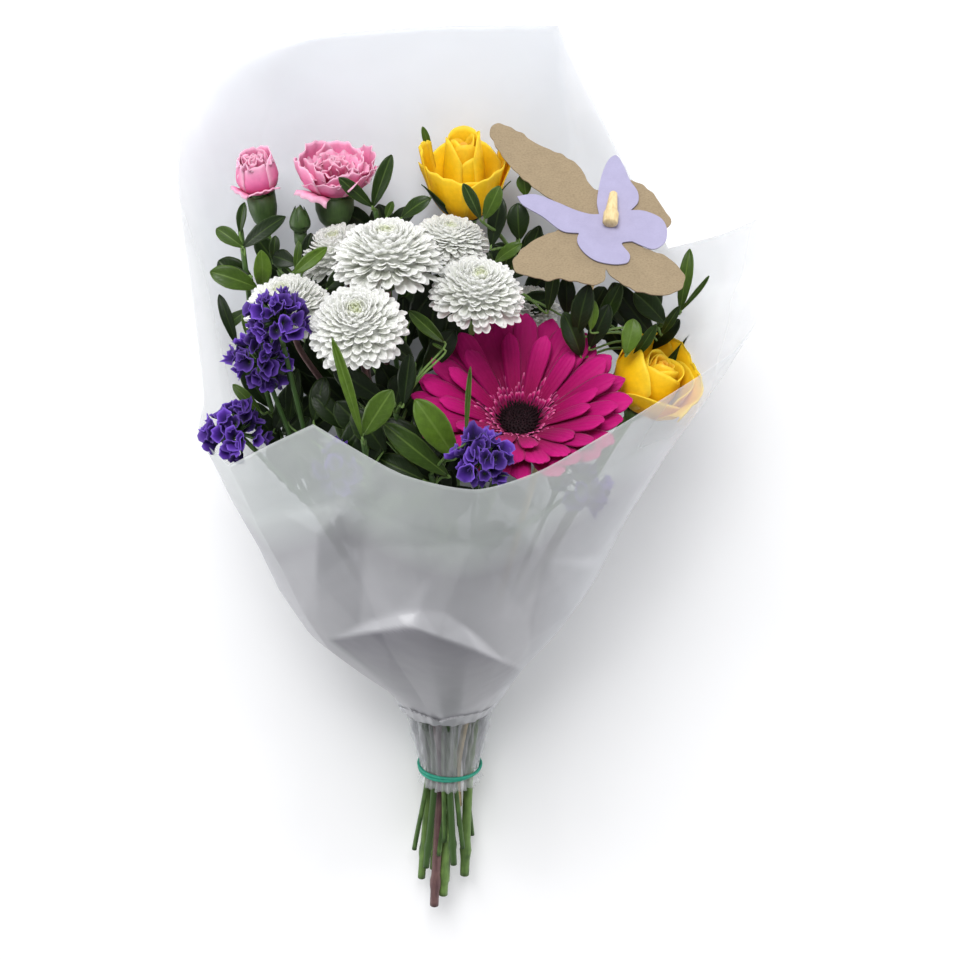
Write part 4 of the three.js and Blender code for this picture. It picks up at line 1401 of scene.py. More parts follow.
@dataclass
class CarnationSpray(Flower):
    """The pink spray carnation: two flowers and a bud on one branched stem."""

    def bloom(self, name: str, count: int, spread: float, rise: float) -> None:
        """Builds one flower: smooth outer petals round a heart of ruffled ones.

        Args:
            name: The CAD node.
            count: How many petals its heart has.
            spread: How far the heart's outer petals open, in degrees.
            rise: How tall the heart is, as a share of the radius.
        """
        head, bunch = CARNATIONS[name], Bunch()
        radius, axis = head.radius, head.axis
        sheet = Bench.sheet(16, 10)
        for petal in CARNATION_CUPS[name]:
            corners = petal.shape(head, sheet, -0.4, CARNATION_BODY, float(self.chance.uniform(0, 6)))
            bunch.add(corners, sheet.faces[:, ::-1], sheet.v, sheet.u, 0.9, self.draw())
        for number in range(count):
            share = (number + 0.5) / count
            side = head.side(number * GOLDEN_ANGLE + self.vary(0.25))
            lean = math.radians(spread * share**0.8)
            out = math.cos(lean) * axis + math.sin(lean) * side
            face = math.sin(lean) * axis - math.cos(lean) * side
            length = radius * (rise + 0.1 * share + self.vary(0.08))
            blade = Blade(
                length, radius * (0.8 + self.vary(0.14)),
                ((0, 0.2), (0.35, 0.4), (0.7, 0.9), (0.9, 1.0), (1, 0.8)),
                ((0, 0), (0.5, 4), (1, 20 - 60 * share + self.vary(22))), ((0, 30), (1, -8)),
                ruffle=0.07, waves=2.4 + self.vary(0.7), phase=self.vary(3.1), teeth=0.014, tooth_count=5.0,
                tip_round=0.2,
            )
            foot = head.along(-0.3 * radius) + side * radius * 0.22 * share
            bunch.add_blade(blade, Bench.sheet(12, 8), foot, rows(out, face), 0.6 * share, self.draw())
        place(bunch.make(f"{name}_petals", self.palette.carnation, 0.3), name)

    def build(self) -> None:
        """Builds the flowers, the bud, and the stem with its calyx tubes."""
        self.bloom("pink_carnation_large", 26, 56.0, 0.98)
        self.bloom("pink_carnation_small", 14, 22.0, 1.86)
        bud, tips = Bunch(), Bunch()
        radius = CARNATION_BUD.radius
        shape = (
            (0, -0.7), (0.6, -0.7), (0.95, -0.3), (1.0, 0.2), (0.78, 0.9), (0.4, 1.4), (0.1, 1.72), (0, 1.72),
        )
        bud.add(*CARNATION_BUD.turned([(r * radius, h * radius) for r, h in shape], 20))
        outline, pitch = ((0, 1.0), (0.5, 0.86), (1, 0.06)), ((0, 4), (0.5, 20), (1, 26))
        blade = Blade(9.5, 6.2, outline, pitch, ((0, 45), (1, 30)))
        for number in range(CALYX_TIPS):
            angle = 2 * math.pi * number / CALYX_TIPS + 0.5
            foot = CARNATION_BUD.around(angle, 0.98 * radius, -0.1 * radius)
            axes = rows(CARNATION_BUD.axis, -CARNATION_BUD.side(angle))
            tips.add_blade(blade, Bench.sheet(4, 8), foot, axes, tint=0.45)
        assemble(
            "pink_carnation_bud_fine", "carnation_petal", "pink_carnation_bud",
            (bud, self.palette.calyx, 0.0), (tips, self.palette.calyx, 0.3),
        )
        self.build_stem()

    def build_stem(self) -> None:
        """Builds the stem, its branches and the calyx tubes with their teeth."""
        stem, tubes, teeth = Bunch(), Bunch(), Bunch()
        route = ROUTES["carnation"]
        path = route.path()
        stem.add(*rod(path, swollen(path, route.radius, (0.06, 0.45, 0.75)), 12))
        for head in (*CARNATIONS.values(), CARNATION_BUD):
            bud = head is CARNATION_BUD
            back = (0.7 if bud else 0.35) * head.radius + 0.35
            depth = 10.0 if bud else 17.0
            ends = head.along(-back - depth - 8.5), head.along(-back - depth + 1.5)
            twig = spline([route.via[-1], *ends], 3.0)
            stem.add(*rod(twig, swollen(twig, 1.2, (0.55, 0.9)), 10))
            wide = 0.6 * head.radius if bud else 0.36 * head.radius + 3.4
            profile = (
                (0, -back - depth), (0.5 * wide, -back - depth), (0.8 * wide, -back - 0.8 * depth),
                (0.97 * wide, -back - 0.5 * depth), (wide, -back - 0.1), (0.6 * wide, -back), (0, -back),
            )
            tubes.add(*head.turned(profile, 18))
            blade = Blade(
                0.3 * depth + 2.5, 1.1 * wide, ((0, 1.0), (0.5, 0.8), (1, 0.08)),
                ((0, 0), (1, -12)), ((0, 50), (1, 20)),
            )
            for number in range(CALYX_TIPS):
                angle = 2 * math.pi * number / CALYX_TIPS
                foot = head.around(angle, wide, -back - 0.2)
                teeth.add_blade(blade, Bench.sheet(4, 6), foot, rows(head.axis, -head.side(angle)))
        assemble(
            "carnation_stem_fine", "green_stem", "carnation_stem",
            (stem, self.palette.stem, 0.0),
            (tubes, self.palette.calyx, 0.0),
            (teeth, self.palette.calyx, 0.35),
        )


@dataclass
class ChrysanthemumSpray(Flower):
    """One branched stem of white button chrysanthemums."""

    route: str
    numbers: tuple[int, ...]

    def bloom(self, number: int) -> None:
        """Builds one dome of scooped petals.

        Args:
            number: The flower's number.
        """
        head = CHRYSANTHEMUMS[number]
        radius, axis = head.radius, head.axis
        bunch, core = Bunch(), Bunch()
        sheet = Bench.sheet(4, 6)
        dome = ((0, -0.3), (0.4, -0.3), (0.62, -0.1), (0.66, 0.12), (0.5, 0.38), (0.25, 0.48), (0, 0.5))
        flat = FLATTER.get(number, 1.0)
        dome = [(reach * radius, height * radius * flat) for reach, height in dome]
        core.add(*head.turned(dome, 24), ring=0.7)
        count = int(190 + 8 * radius)
        for petal in range(count):
            share = ((petal + 0.5) / count) ** 0.8
            side = head.side(petal * GOLDEN_ANGLE + self.vary(0.1))
            polar = math.radians(3 + 103 * share + self.vary(4))
            out = math.cos(polar) * axis + math.sin(polar) * side
            face = math.sin(polar) * axis - math.cos(polar) * side
            length = radius * (0.18 + 0.38 * share**0.8) * (1 + self.vary(0.12))
            width = radius * (0.085 + 0.15 * share**0.8)
            lift = 30 * (1 - share) + 12
            blade = Blade(
                length, width, ((0, 0.5), (0.35, 0.8), (0.7, 1.04), (0.9, 1.02), (1, 0.74)),
                ((0, -14), (0.5, -2), (1, lift + self.vary(10))), ((0, 48), (0.6, 50), (1, 42)),
                tip_round=0.1, twist=self.vary(20), tip_bias=1.4,
            )
            corners, v = blade.shape(sheet)
            reach = radius * (0.32 + 0.27 * share)
            foot = out * reach + axis * radius * (0.04 - 0.08 * share)
            corners = foot + corners @ rows(out, face)
            corners -= (1 - flat) * (corners @ axis)[:, None] * axis
            corners += np.asarray(head.at, float)
            bunch.add(corners, sheet.faces, v, sheet.u, share, self.draw())
        assemble(
            f"white_chrysanthemum_{number}_petals", "chrysanthemum_petal", f"white_chrysanthemum_{number}",
            (bunch, self.palette.chrysanthemum, 0.35), (core, self.palette.chrysanthemum, 0.0),
        )

    def build(self) -> None:
        """Builds the flowers, then the stem with its branches and green cups."""
        for number in self.numbers:
            self.bloom(number)
        left = self.route == "chrysanthemum_left"
        stem, cups = Bunch(), Bunch()
        route = ROUTES[self.route]
        path = route.path()
        stem.add(*rod(path, swollen(path, route.radius, (0.05, 0.3, 0.6)), 14))
        for number in self.numbers:
            head = CHRYSANTHEMUMS[number]
            radius = head.radius
            back = 0.5 * radius + 0.35
            bends = DETOURS.get(number, ())
            twig = spline([route.via[-1], *bends, head.along(-back - 12.5), head.along(-back - 2.5)], 3.0)
            stem.add(*rod(twig, swollen(twig, 1.4, (0.5,)), 10))
            profile = (
                (0, -back - 4), (0.14 * radius, -back - 4), (0.3 * radius, -back),
                (0.36 * radius, -back + 0.16 * radius), (0.3 * radius, -back + 0.3 * radius),
                (0, -back + 0.34 * radius),
            )
            cups.add(*head.turned(profile, 18), tint=0.6)
        side = "left" if left else "right"
        assemble(
            f"{self.route}_stem_fine", "brown_stem" if left else "green_stem", f"chrysanthemum_stem_{side}",
            (stem, self.palette.brown if left else self.palette.stem, 0.0),
            (cups, self.palette.calyx, 0.0),
        )


@dataclass(frozen=True)
class StaticeHead:
    """A statice cluster: its middle, radius, stem, and how many florets it has."""

    at: Point
    radius: float
    stem: str
    florets: int


STATICE = {
    "upper": StaticeHead((-88, 104, 119), 13, "statice_left", 34),
    "middle": StaticeHead((-97, 80, 108), 13, "statice_left", 34),
    "left": StaticeHead((-110, 42, 99), 14, "statice_left", 36),
    "inner_left": StaticeHead((-62, 32, 117), 10, "statice_left", 20),
    "front": StaticeHead((1, 50, 146), 12, "statice_front", 34),
    "inner_right": StaticeHead((46, 20, 114), 10, "statice_front", 20),
}


@dataclass
class Statice(Flower):
    """The purple statice: clusters of small papery funnels on two branched stems."""

    twig_radius: float = 1.1
    twig_reach: float = 1.1  # where a cluster's stalk ends, as a share of its radius
    creases: int = 16

    def funnel(self, foot: Array, way: Array, size: float) -> Solid:
        """One papery funnel with a ruffled, folded rim.

        Args:
            foot: Its narrow end.
            way: The way it opens.
            size: The radius of its rim.

        Returns:
            Its corners, faces, and along and across facts.
        """
        sheet = Bench.sheet(self.creases, 4)
        angle = (sheet.u + 1) * math.pi
        v = sheet.v
        phase = self.chance.uniform(0, 6.3)
        crease, rim = self.chance.uniform(-1, 1, (2, self.creases + 1))
        crease[-1], rim[-1] = crease[0], rim[0]
        spot, stops = (sheet.u + 1) * self.creases / 2, np.arange(self.creases + 1)
        lobes = 1 + 0.08 * np.sin(5 * angle + phase) * v**2 + 0.16 * np.sin(2 * angle + 2 * phase) * v
        lobes += 0.16 * np.interp(spot, stops, crease) * v
        reach = size * (0.16 + 0.84 * v**1.5) * lobes
        rise = size * (0.1 + 1.2 * v) + size * 0.3 * np.interp(spot, stops, rim) * v**3
        rise += 0.2 * size * np.sin(2 * angle + phase) * v**2
        axis = unit(way)
        helper = np.array((0.3, 0.7, 0.2)) if abs(axis[0]) > 0.6 else np.array((1.0, 0.0, 0.2))
        side = unit(np.cross(axis, helper))
        other = np.cross(axis, side)
        squash = float(self.chance.uniform(0.5, 1.0))
        ring = np.cos(angle)[:, None] * side + squash * np.sin(angle)[:, None] * other
        points = foot + reach[:, None] * ring
        return points + rise[:, None] * axis, sheet.faces, v, sheet.u * 0

    def cluster(self, name: str, head: StaticeHead) -> None:
        """Builds one cluster with its own stalk.

        Args:
            name: Its name.
            head: Its numbers.
        """
        papers, stalks = Bunch(), Bunch()
        middle = np.array(head.at, float)
        away = unit(middle - np.array(ROUTES[head.stem].via[-1], float))
        for number in range(head.florets):
            height = 1 - 2 * (number + 0.5) / head.florets
            turn = number * GOLDEN_ANGLE
            flat = math.sqrt(1 - height * height)
            way = np.array((flat * math.cos(turn), flat * math.sin(turn), height))
            way = unit(way + 0.25 * away + self.chance.uniform(-0.22, 0.22, 3))
            reach = head.radius * float(self.chance.uniform(0.42, 0.78))
            foot = middle + way * reach
            lean = unit(way + 0.45 * away + self.chance.uniform(-0.4, 0.4, 3))
            size = 4.0 * (1 + self.vary(0.3))
            papers.add(*self.funnel(foot, lean, size), 1.0, self.draw())
            stalks.add(*rod(np.array((middle, (middle + foot) / 2, foot + lean * 0.8)), 0.55, 5), tint=0.2)
        stalk_end = middle - away * self.twig_reach * head.radius
        stalks.add(*rod(spline([stalk_end, middle - away * 4, middle], 3.0), self.twig_radius, 8), tint=0.4)
        assemble(
            f"statice_cluster_{name}_fine", "statice_flower", f"statice_cluster_{name}",
            (papers, self.palette.statice, 0.22), (stalks, self.palette.stem, 0.0),
        )

    def build(self) -> None:
        """Builds the clusters and the two stems."""
        for name, head in STATICE.items():
            self.cluster(name, head)
        for name in ("statice_left", "statice_front"):
            stem, wings = Bunch(), Bunch()
            route = ROUTES[name]
            path = route.path()
            stem.add(*rod(path, swollen(path, route.radius, (0.05,)), 10), tint=0.15)
            sheet = Bench.sheet(2, 24)
            for head in STATICE.values():
                if head.stem != name:
                    continue
                fork = np.array(route.via[-1], float)
                middle = np.array(head.at, float)
                way = unit(fork - middle)
                tip = middle + way * (self.twig_reach * head.radius + 0.35)
                bend = (fork + tip) / 2 + np.array((self.vary(2), self.vary(2), 2.0))
                twig = spline([fork, bend, tip], 3.0)
                stem.add(*rod(twig, self.twig_radius, 8), tint=0.1)
                side = unit(np.cross(tip - fork, TO_CAMERA))
                stops = np.linspace(0, 1, len(twig))
                line = np.column_stack([np.interp(sheet.v, stops, column) for column in twig.T])
                wide = (1.5 + 0.5 * np.sin(sheet.v * 40)) * (1 - np.abs(2 * sheet.v - 1) ** 6)
                wings.add(line + (sheet.u * wide)[:, None] * side, sheet.faces, sheet.v, sheet.u, 0.5, 0.16)
            assemble(
                f"{name}_stem_fine", "green_stem", name.replace("statice", "statice_stem"),
                (stem, self.palette.stem, 0.0), (wings, self.palette.leaf, 0.3),
            )


# ---------------------------------------------------------------- greenery
class Tone(Enum):
    """How bright a leaf is: partly its own green, and for the dark ones partly painted shade deep in the
    bunch.
    """

    DARK = 0.12
    MID = 0.42
    FRESH = 0.62
    LIGHT = 0.88


@dataclass(frozen=True)
class Leaf:
    """One leaf: where it starts and ends, its width and how bright it is."""

    foot: Point
    tip: Point
    width: float
    tone: Tone = Tone.MID
    bow: float = 16.0  # degrees that it bends over its length
    via: tuple[Point, ...] = ()  # where its stalk passes


@dataclass(frozen=True)
class SprigPlan:
    """A sprig of greenery: its stem and its leaves."""

    route: Route
    leaves: tuple[Leaf, ...]
    # The fill leaves all take the darkest tone, as painted shade.
    fill: int = 10  # small dark leaves close to its stem


D, M, F, L = Tone.DARK, Tone.MID, Tone.FRESH, Tone.LIGHT
SPRIGS = {
    "greenery_left": SprigPlan(
        Route((2.1, 165), 1.3, (-8, -236), (
            (-44, -100, 36), (-88, 0, 54), (-103, 60, 58), (-107, 100, 57), (-109, 124, 56),
        )),
        (
            Leaf((-109, 123, 58), (-106, 138, 60), 5, M), Leaf((-108, 116, 58), (-88, 134, 66), 8, D),
            Leaf((-108, 116, 58), (-120, 124, 54), 7.5, F), Leaf((-105, 103, 60), (-115, 103, 52), 5, D),
            Leaf((-102, 98, 62), (-123, 107, 66), 10.5, F), Leaf((-100, 98, 62), (-98, 119, 70), 8.5, L),
            Leaf((-112, 71, 66), (-119, 95, 62), 5.5, D), Leaf((-107, 77, 68), (-108, 89, 66), 3.5, F),
            Leaf((-101, 42, 76), (-114, 55, 74), 5.5, F), Leaf((-104, 62, 60), (-92, 84, 64), 9, D),
            Leaf((-106, 86, 58), (-118, 78, 60), 6, M), Leaf((-92, 8, 60), (-80, 34, 62), 12, D),
            Leaf((-95, 16, 58), (-108, 40, 60), 11, D), Leaf((-97, 26, 60), (-84, 50, 60), 12, D),
            Leaf((-99, 36, 56), (-111, 58, 58), 9, D), Leaf((-100, 44, 58), (-90, 68, 58), 12, D),
            Leaf((-90, 0, 60), (-74, 22, 64), 12, D), Leaf((-88, -6, 56), (-100, 18, 56), 10, D),
            Leaf((-94, 20, 52), (-76, 40, 54), 12, D), Leaf((-92, 12, 54), (-68, 34, 56), 12, D),
        ),
        4,
    ),
    "greenery_under_carnations": SprigPlan(
        Route((2, 225), 1.3, (-2, -232), ((-36, -90, 14), (-66, 20, 26), (-80, 80, 44), (-85, 104, 56))),
        (
            Leaf((-85, 106, 66), (-69, 122, 74), 6.5, L), Leaf((-84, 106, 64), (-82, 121, 62), 3.5, F),
            Leaf((-84, 108, 58), (-95, 111, 54), 9, D), Leaf((-81, 107, 52), (-77, 120, 50), 6, D),
            Leaf((-95, 108, 54), (-94, 119, 50), 5, M), Leaf((-70, 100, 70), (-59, 110, 66), 8, D),
            Leaf((-80, 90, 48), (-62, 100, 50), 9, D), Leaf((-78, 78, 46), (-92, 92, 50), 10, D),
            Leaf((-72, 60, 40), (-54, 80, 48), 11, D), Leaf((-74, 66, 42), (-90, 76, 46), 10, D),
            Leaf((-74, 44, 40), (-92, 66, 44), 12, D), Leaf((-72, 40, 38), (-64, 66, 42), 12, D),
            Leaf((-70, 30, 36), (-88, 50, 40), 12, D), Leaf((-68, 24, 34), (-60, 50, 38), 12, D),
        ),
        16,
    ),
    "greenery_top": SprigPlan(
        Route((2, 255), 1.3, (0, -240), ((-24, -80, 10), (-40, 40, 20), (-44, 100, 34), (-48, 130, 46))),
        (
            Leaf((-49, 132, 48), (-64, 147, 52), 6.5, M), Leaf((-49, 132, 48), (-39, 157, 50), 7.5, M),
            Leaf((-43, 126, 46), (-40, 134, 46), 4, F), Leaf((-36, 126, 46), (-23, 137, 48), 7.5, M),
            Leaf((-23, 147, 18), (-26, 161, 18), 3.6, F, 4.0, ((-24, 122, 8), (-21, 136, 10))),
            Leaf((-44, 118, 38), (-30, 128, 38), 8, D),
            Leaf((-42, 100, 34), (-26, 116, 40), 10, D), Leaf((-42, 90, 32), (-58, 106, 38), 10, D),
        ),
        12,
    ),
    "greenery_under_rose": SprigPlan(
        Route((2, 285), 1.3, (2, -230), ((-6, -80, 9), (4, 40, 22), (12, 90, 40), (16, 110, 52))),
        (
            Leaf((0, 135, 74), (-7, 153, 78), 6, M), Leaf((2, 135, 74), (9, 151, 76), 7.5, F),
            Leaf((5, 119, 66), (10, 141, 62), 8.5, D), Leaf((18, 119, 56), (17, 136, 54), 10.5, D),
            Leaf((21, 136, 44), (20, 146, 42), 7.5, F), Leaf((7, 112, 66), (19, 122, 70), 6.5, F),
            Leaf((9, 103, 60), (15, 118, 60), 6.5, M), Leaf((31, 88, 66), (35, 108, 62), 6.5, M),
            Leaf((40, 84, 60), (40, 102, 58), 8.5, D), Leaf((14, 96, 44), (30, 112, 46), 10, D),
            Leaf((12, 88, 40), (0, 104, 46), 10, D), Leaf((16, 76, 36), (34, 88, 44), 11, D),
            Leaf((20, 104, 50), (28, 124, 52), 8, D),
        ),
        22,
    ),
    "greenery_right": SprigPlan(
        Route((2, 315), 1.3, (4, -234), (
            (10, -100, 21), (46, 0, 28), (67, 50, 40), (81, 76, 58), (91, 90, 71),
        )),
        (
            Leaf((91, 90, 72), (94, 120, 70), 6.5, F), Leaf((91, 90, 72), (102, 110, 80), 2.6, F, 4.0),
            Leaf((83, 80, 74), (90, 97, 84), 4.5, M), Leaf((81, 73, 62), (61, 98, 58), 11.5, D),
            Leaf((85, 82, 66), (71, 96, 62), 11.5, M), Leaf((70, 67, 72), (80, 86, 78), 5.5, M),
            Leaf((66, 74, 84), (69, 90, 80), 9.5, L), Leaf((54, 80, 70), (63, 104, 72), 8, M),
            Leaf((50, 85, 82), (51, 99, 80), 5.5, L), Leaf((51, 83, 54), (58, 94, 50), 9.5, D),
            Leaf((60, 66, 46), (46, 86, 48), 11, D), Leaf((78, 62, 48), (92, 80, 54), 9, D),
            Leaf((70, 56, 44), (60, 74, 46), 10, D),
            Leaf((44, 82, 80), (48, 108, 84), 10, D), Leaf((46, 70, 76), (38, 94, 82), 10, D),
            Leaf((50, 74, 76), (58, 96, 78), 9.5, D),
        ),
        20,
    ),
    "greenery_front_left": SprigPlan(
        Route((2, 105), 1.3, (0, -226), ((-18, -130, 45), (-36, -60, 78), (-48, 10, 114), (-51, 54, 134))),
        (
            Leaf((-51, 57, 140), (-61, 107, 149), 5, L, 6.0), Leaf((-51, 57, 136), (-38, 79, 138), 11.5, F),
            Leaf((-53, 8, 128), (-35, 25, 128), 9, M), Leaf((-67, 33, 120), (-82, 43, 112), 9.5, D),
            Leaf((-75, 48, 100), (-70, 67, 94), 9.5, D), Leaf((-87, 44, 92), (-82, 69, 88), 7, D),
            Leaf((-52, 30, 120), (-66, 46, 122), 9, D), Leaf((-60, 44, 100), (-76, 60, 98), 10, D),
        ),
        26,
    ),
    "greenery_front_centre": SprigPlan(
        Route((2, 75), 1.3, (4, -230), ((-12, -130, 45), (-14, -60, 76), (-18, 0, 104), (-22, 30, 118))),
        (
            Leaf((-11, 43, 128), (-29, 72, 132), 13.5, L), Leaf((-14, 31, 122), (-43, 57, 124), 11, F),
            Leaf((-25, 26, 116), (-46, 36, 112), 11.5, M), Leaf((-6, 59, 146), (-5, 92, 144), 2.4, F, 4.0),
            Leaf((-20, 24, 110), (-34, 8, 112), 10, M), Leaf((-20, 30, 100), (-44, 48, 100), 12, D),
            Leaf((-16, 30, 96), (-30, 50, 92), 11, D),
        ),
        20,
    ),
    "greenery_middle": SprigPlan(
        Route((1, 90), 1.3, (-6, -238), ((-20, -80, 50), (-32, 10, 80), (-38, 52, 100))),
        (
            Leaf((-42, 63, 112), (-65, 78, 108), 11.5, D), Leaf((-38, 58, 104), (-35, 70, 98), 10.5, D),
            Leaf((-34, 61, 112), (-30, 85, 112), 8.5, D), Leaf((-16, 83, 92), (-32, 99, 96), 6.5, F),
            Leaf((-16, 81, 96), (-21, 85, 98), 1.6, F), Leaf((-36, 48, 96), (-54, 62, 92), 12, D),
            Leaf((-38, 44, 90), (-24, 64, 86), 12, D), Leaf((-34, 30, 84), (-52, 42, 82), 12, D),
            Leaf((-30, 70, 84), (-48, 86, 84), 11, D), Leaf((-26, 64, 80), (-12, 84, 78), 11, D),
            Leaf((-56, 60, 88), (-70, 78, 86), 11, D), Leaf((-24, 70, 72), (-20, 97, 70), 14, D),
            Leaf((-14, 62, 66), (-6, 89, 62), 14, D), Leaf((-32, 84, 68), (-16, 105, 64), 13, D),
            Leaf((-36, 64, 60), (-36, 92, 58), 14, D), Leaf((-50, 58, 60), (-64, 84, 60), 14, D),
            Leaf((-64, 48, 62), (-80, 74, 64), 13, D), Leaf((-56, 36, 70), (-74, 58, 72), 13, D),
        ),
        34,
    ),
}
LEAF_OUTLINE: Curve = (
    (0, 0.08), (0.08, 0.3), (0.25, 0.66), (0.5, 0.97), (0.65, 1.0), (0.82, 0.8), (0.93, 0.5), (1, 0.06),
)
LEAF_FACING = np.array((0.0, 0.42, 0.91))


@dataclass
class Sprig(Flower):
    """A sprig of small leathery leaves on its own stem."""

    name: str
    room: "FilmRoom"

    def leaf(self, blades: Bunch, leaf: Leaf) -> None:
        """Adds one leaf, folded a little along its midrib.

        Args:
            blades: Where to add it.
            leaf: Its numbers.
        """
        foot, tip = np.array(leaf.foot, float), np.array(leaf.tip, float)
        length = float(np.linalg.norm(tip - foot))
        bow = leaf.bow * (1 + self.vary(0.4))
        blade = Blade(
            length * 1.01, leaf.width, LEAF_OUTLINE, ((0, bow), (0.5, 0), (1, -bow - 6)),
            fold=11 + self.vary(7), ruffle=0.012, waves=2.5, phase=self.vary(3), tip_bias=1.2,
            sway=self.vary(0.04),
        )
        face = LEAF_FACING + self.chance.uniform(-0.22, 0.22, 3)
        tint = float(np.clip(leaf.tone.value + self.vary(0.08), 0, 1))
        blades.add_blade(blade, Bench.sheet(8, 14), foot, rows(tip - foot, face), tint=tint)

    def build(self) -> None:
        """Builds the stem, each leaf and its stalk."""
        plan = SPRIGS[self.name]
        blades, stems = Bunch(), Bunch()
        path = plan.route.path()
        stems.add(*rod(path, swollen(path, plan.route.radius, (0.5, 0.7, 0.8, 0.9), 0.2), 9), tint=0.35)
        for number in range(plan.fill):
            share = 0.55 + 0.42 * (number + 0.5 + self.vary(0.3)) / plan.fill
            knot = path[int(share * (len(path) - 1))]
            foot = knot + (self.vary(16 * share**2), self.vary(5), -10 + self.vary(10))
            lean = math.radians((-1) ** number * 34 + self.vary(26))
            way = np.array((math.sin(lean), math.cos(lean), 0.05 + self.vary(0.14)))
            start, tip = foot + 2.2 * way, foot + (24 + self.vary(4)) * way
            start[2], tip[2] = start[2] - 1.5, max(tip[2] - 3, 4.0)
            if not (self.room.holds(start, 4.0) and self.room.holds(tip, 5.0)):
                continue
            # Fill leaves deep in the bunch get the darkest tone: painted shade.
            self.leaf(blades, Leaf(tuple(start), tuple(tip), 12 + self.vary(2), Tone.DARK))
            stalk = np.array((knot, (knot + start) / 2, start + 1.2 * way))
            stems.add(*rod(stalk, np.array((0.8, 0.6, 0.45)), 6))
        for leaf in plan.leaves:
            self.leaf(blades, leaf)
            foot = np.array(leaf.foot, float)
            way = unit(np.array(leaf.tip, float) - foot)
            apart = np.linalg.norm(path - (foot - way * 6 - (0, 8, 0)), axis=1)
            start = path[int(np.argmin(apart))]
            if np.linalg.norm(start - foot) > 0.8:
                through = leaf.via or ((start + foot) / 2 + (0, 1.5, -0.5),)
                stalk = spline([start, *through, foot - way * 1.0, foot + way * 1.5], 2.5)
                stems.add(*rod(stalk, np.linspace(0.75, 0.42, len(stalk)), 7), tint=0.6)
        assemble(
            f"{self.name}_fine", "leaf", self.name,
            (blades, self.palette.leaf, 0.35), (stems, self.palette.stem, 0.0),
        )


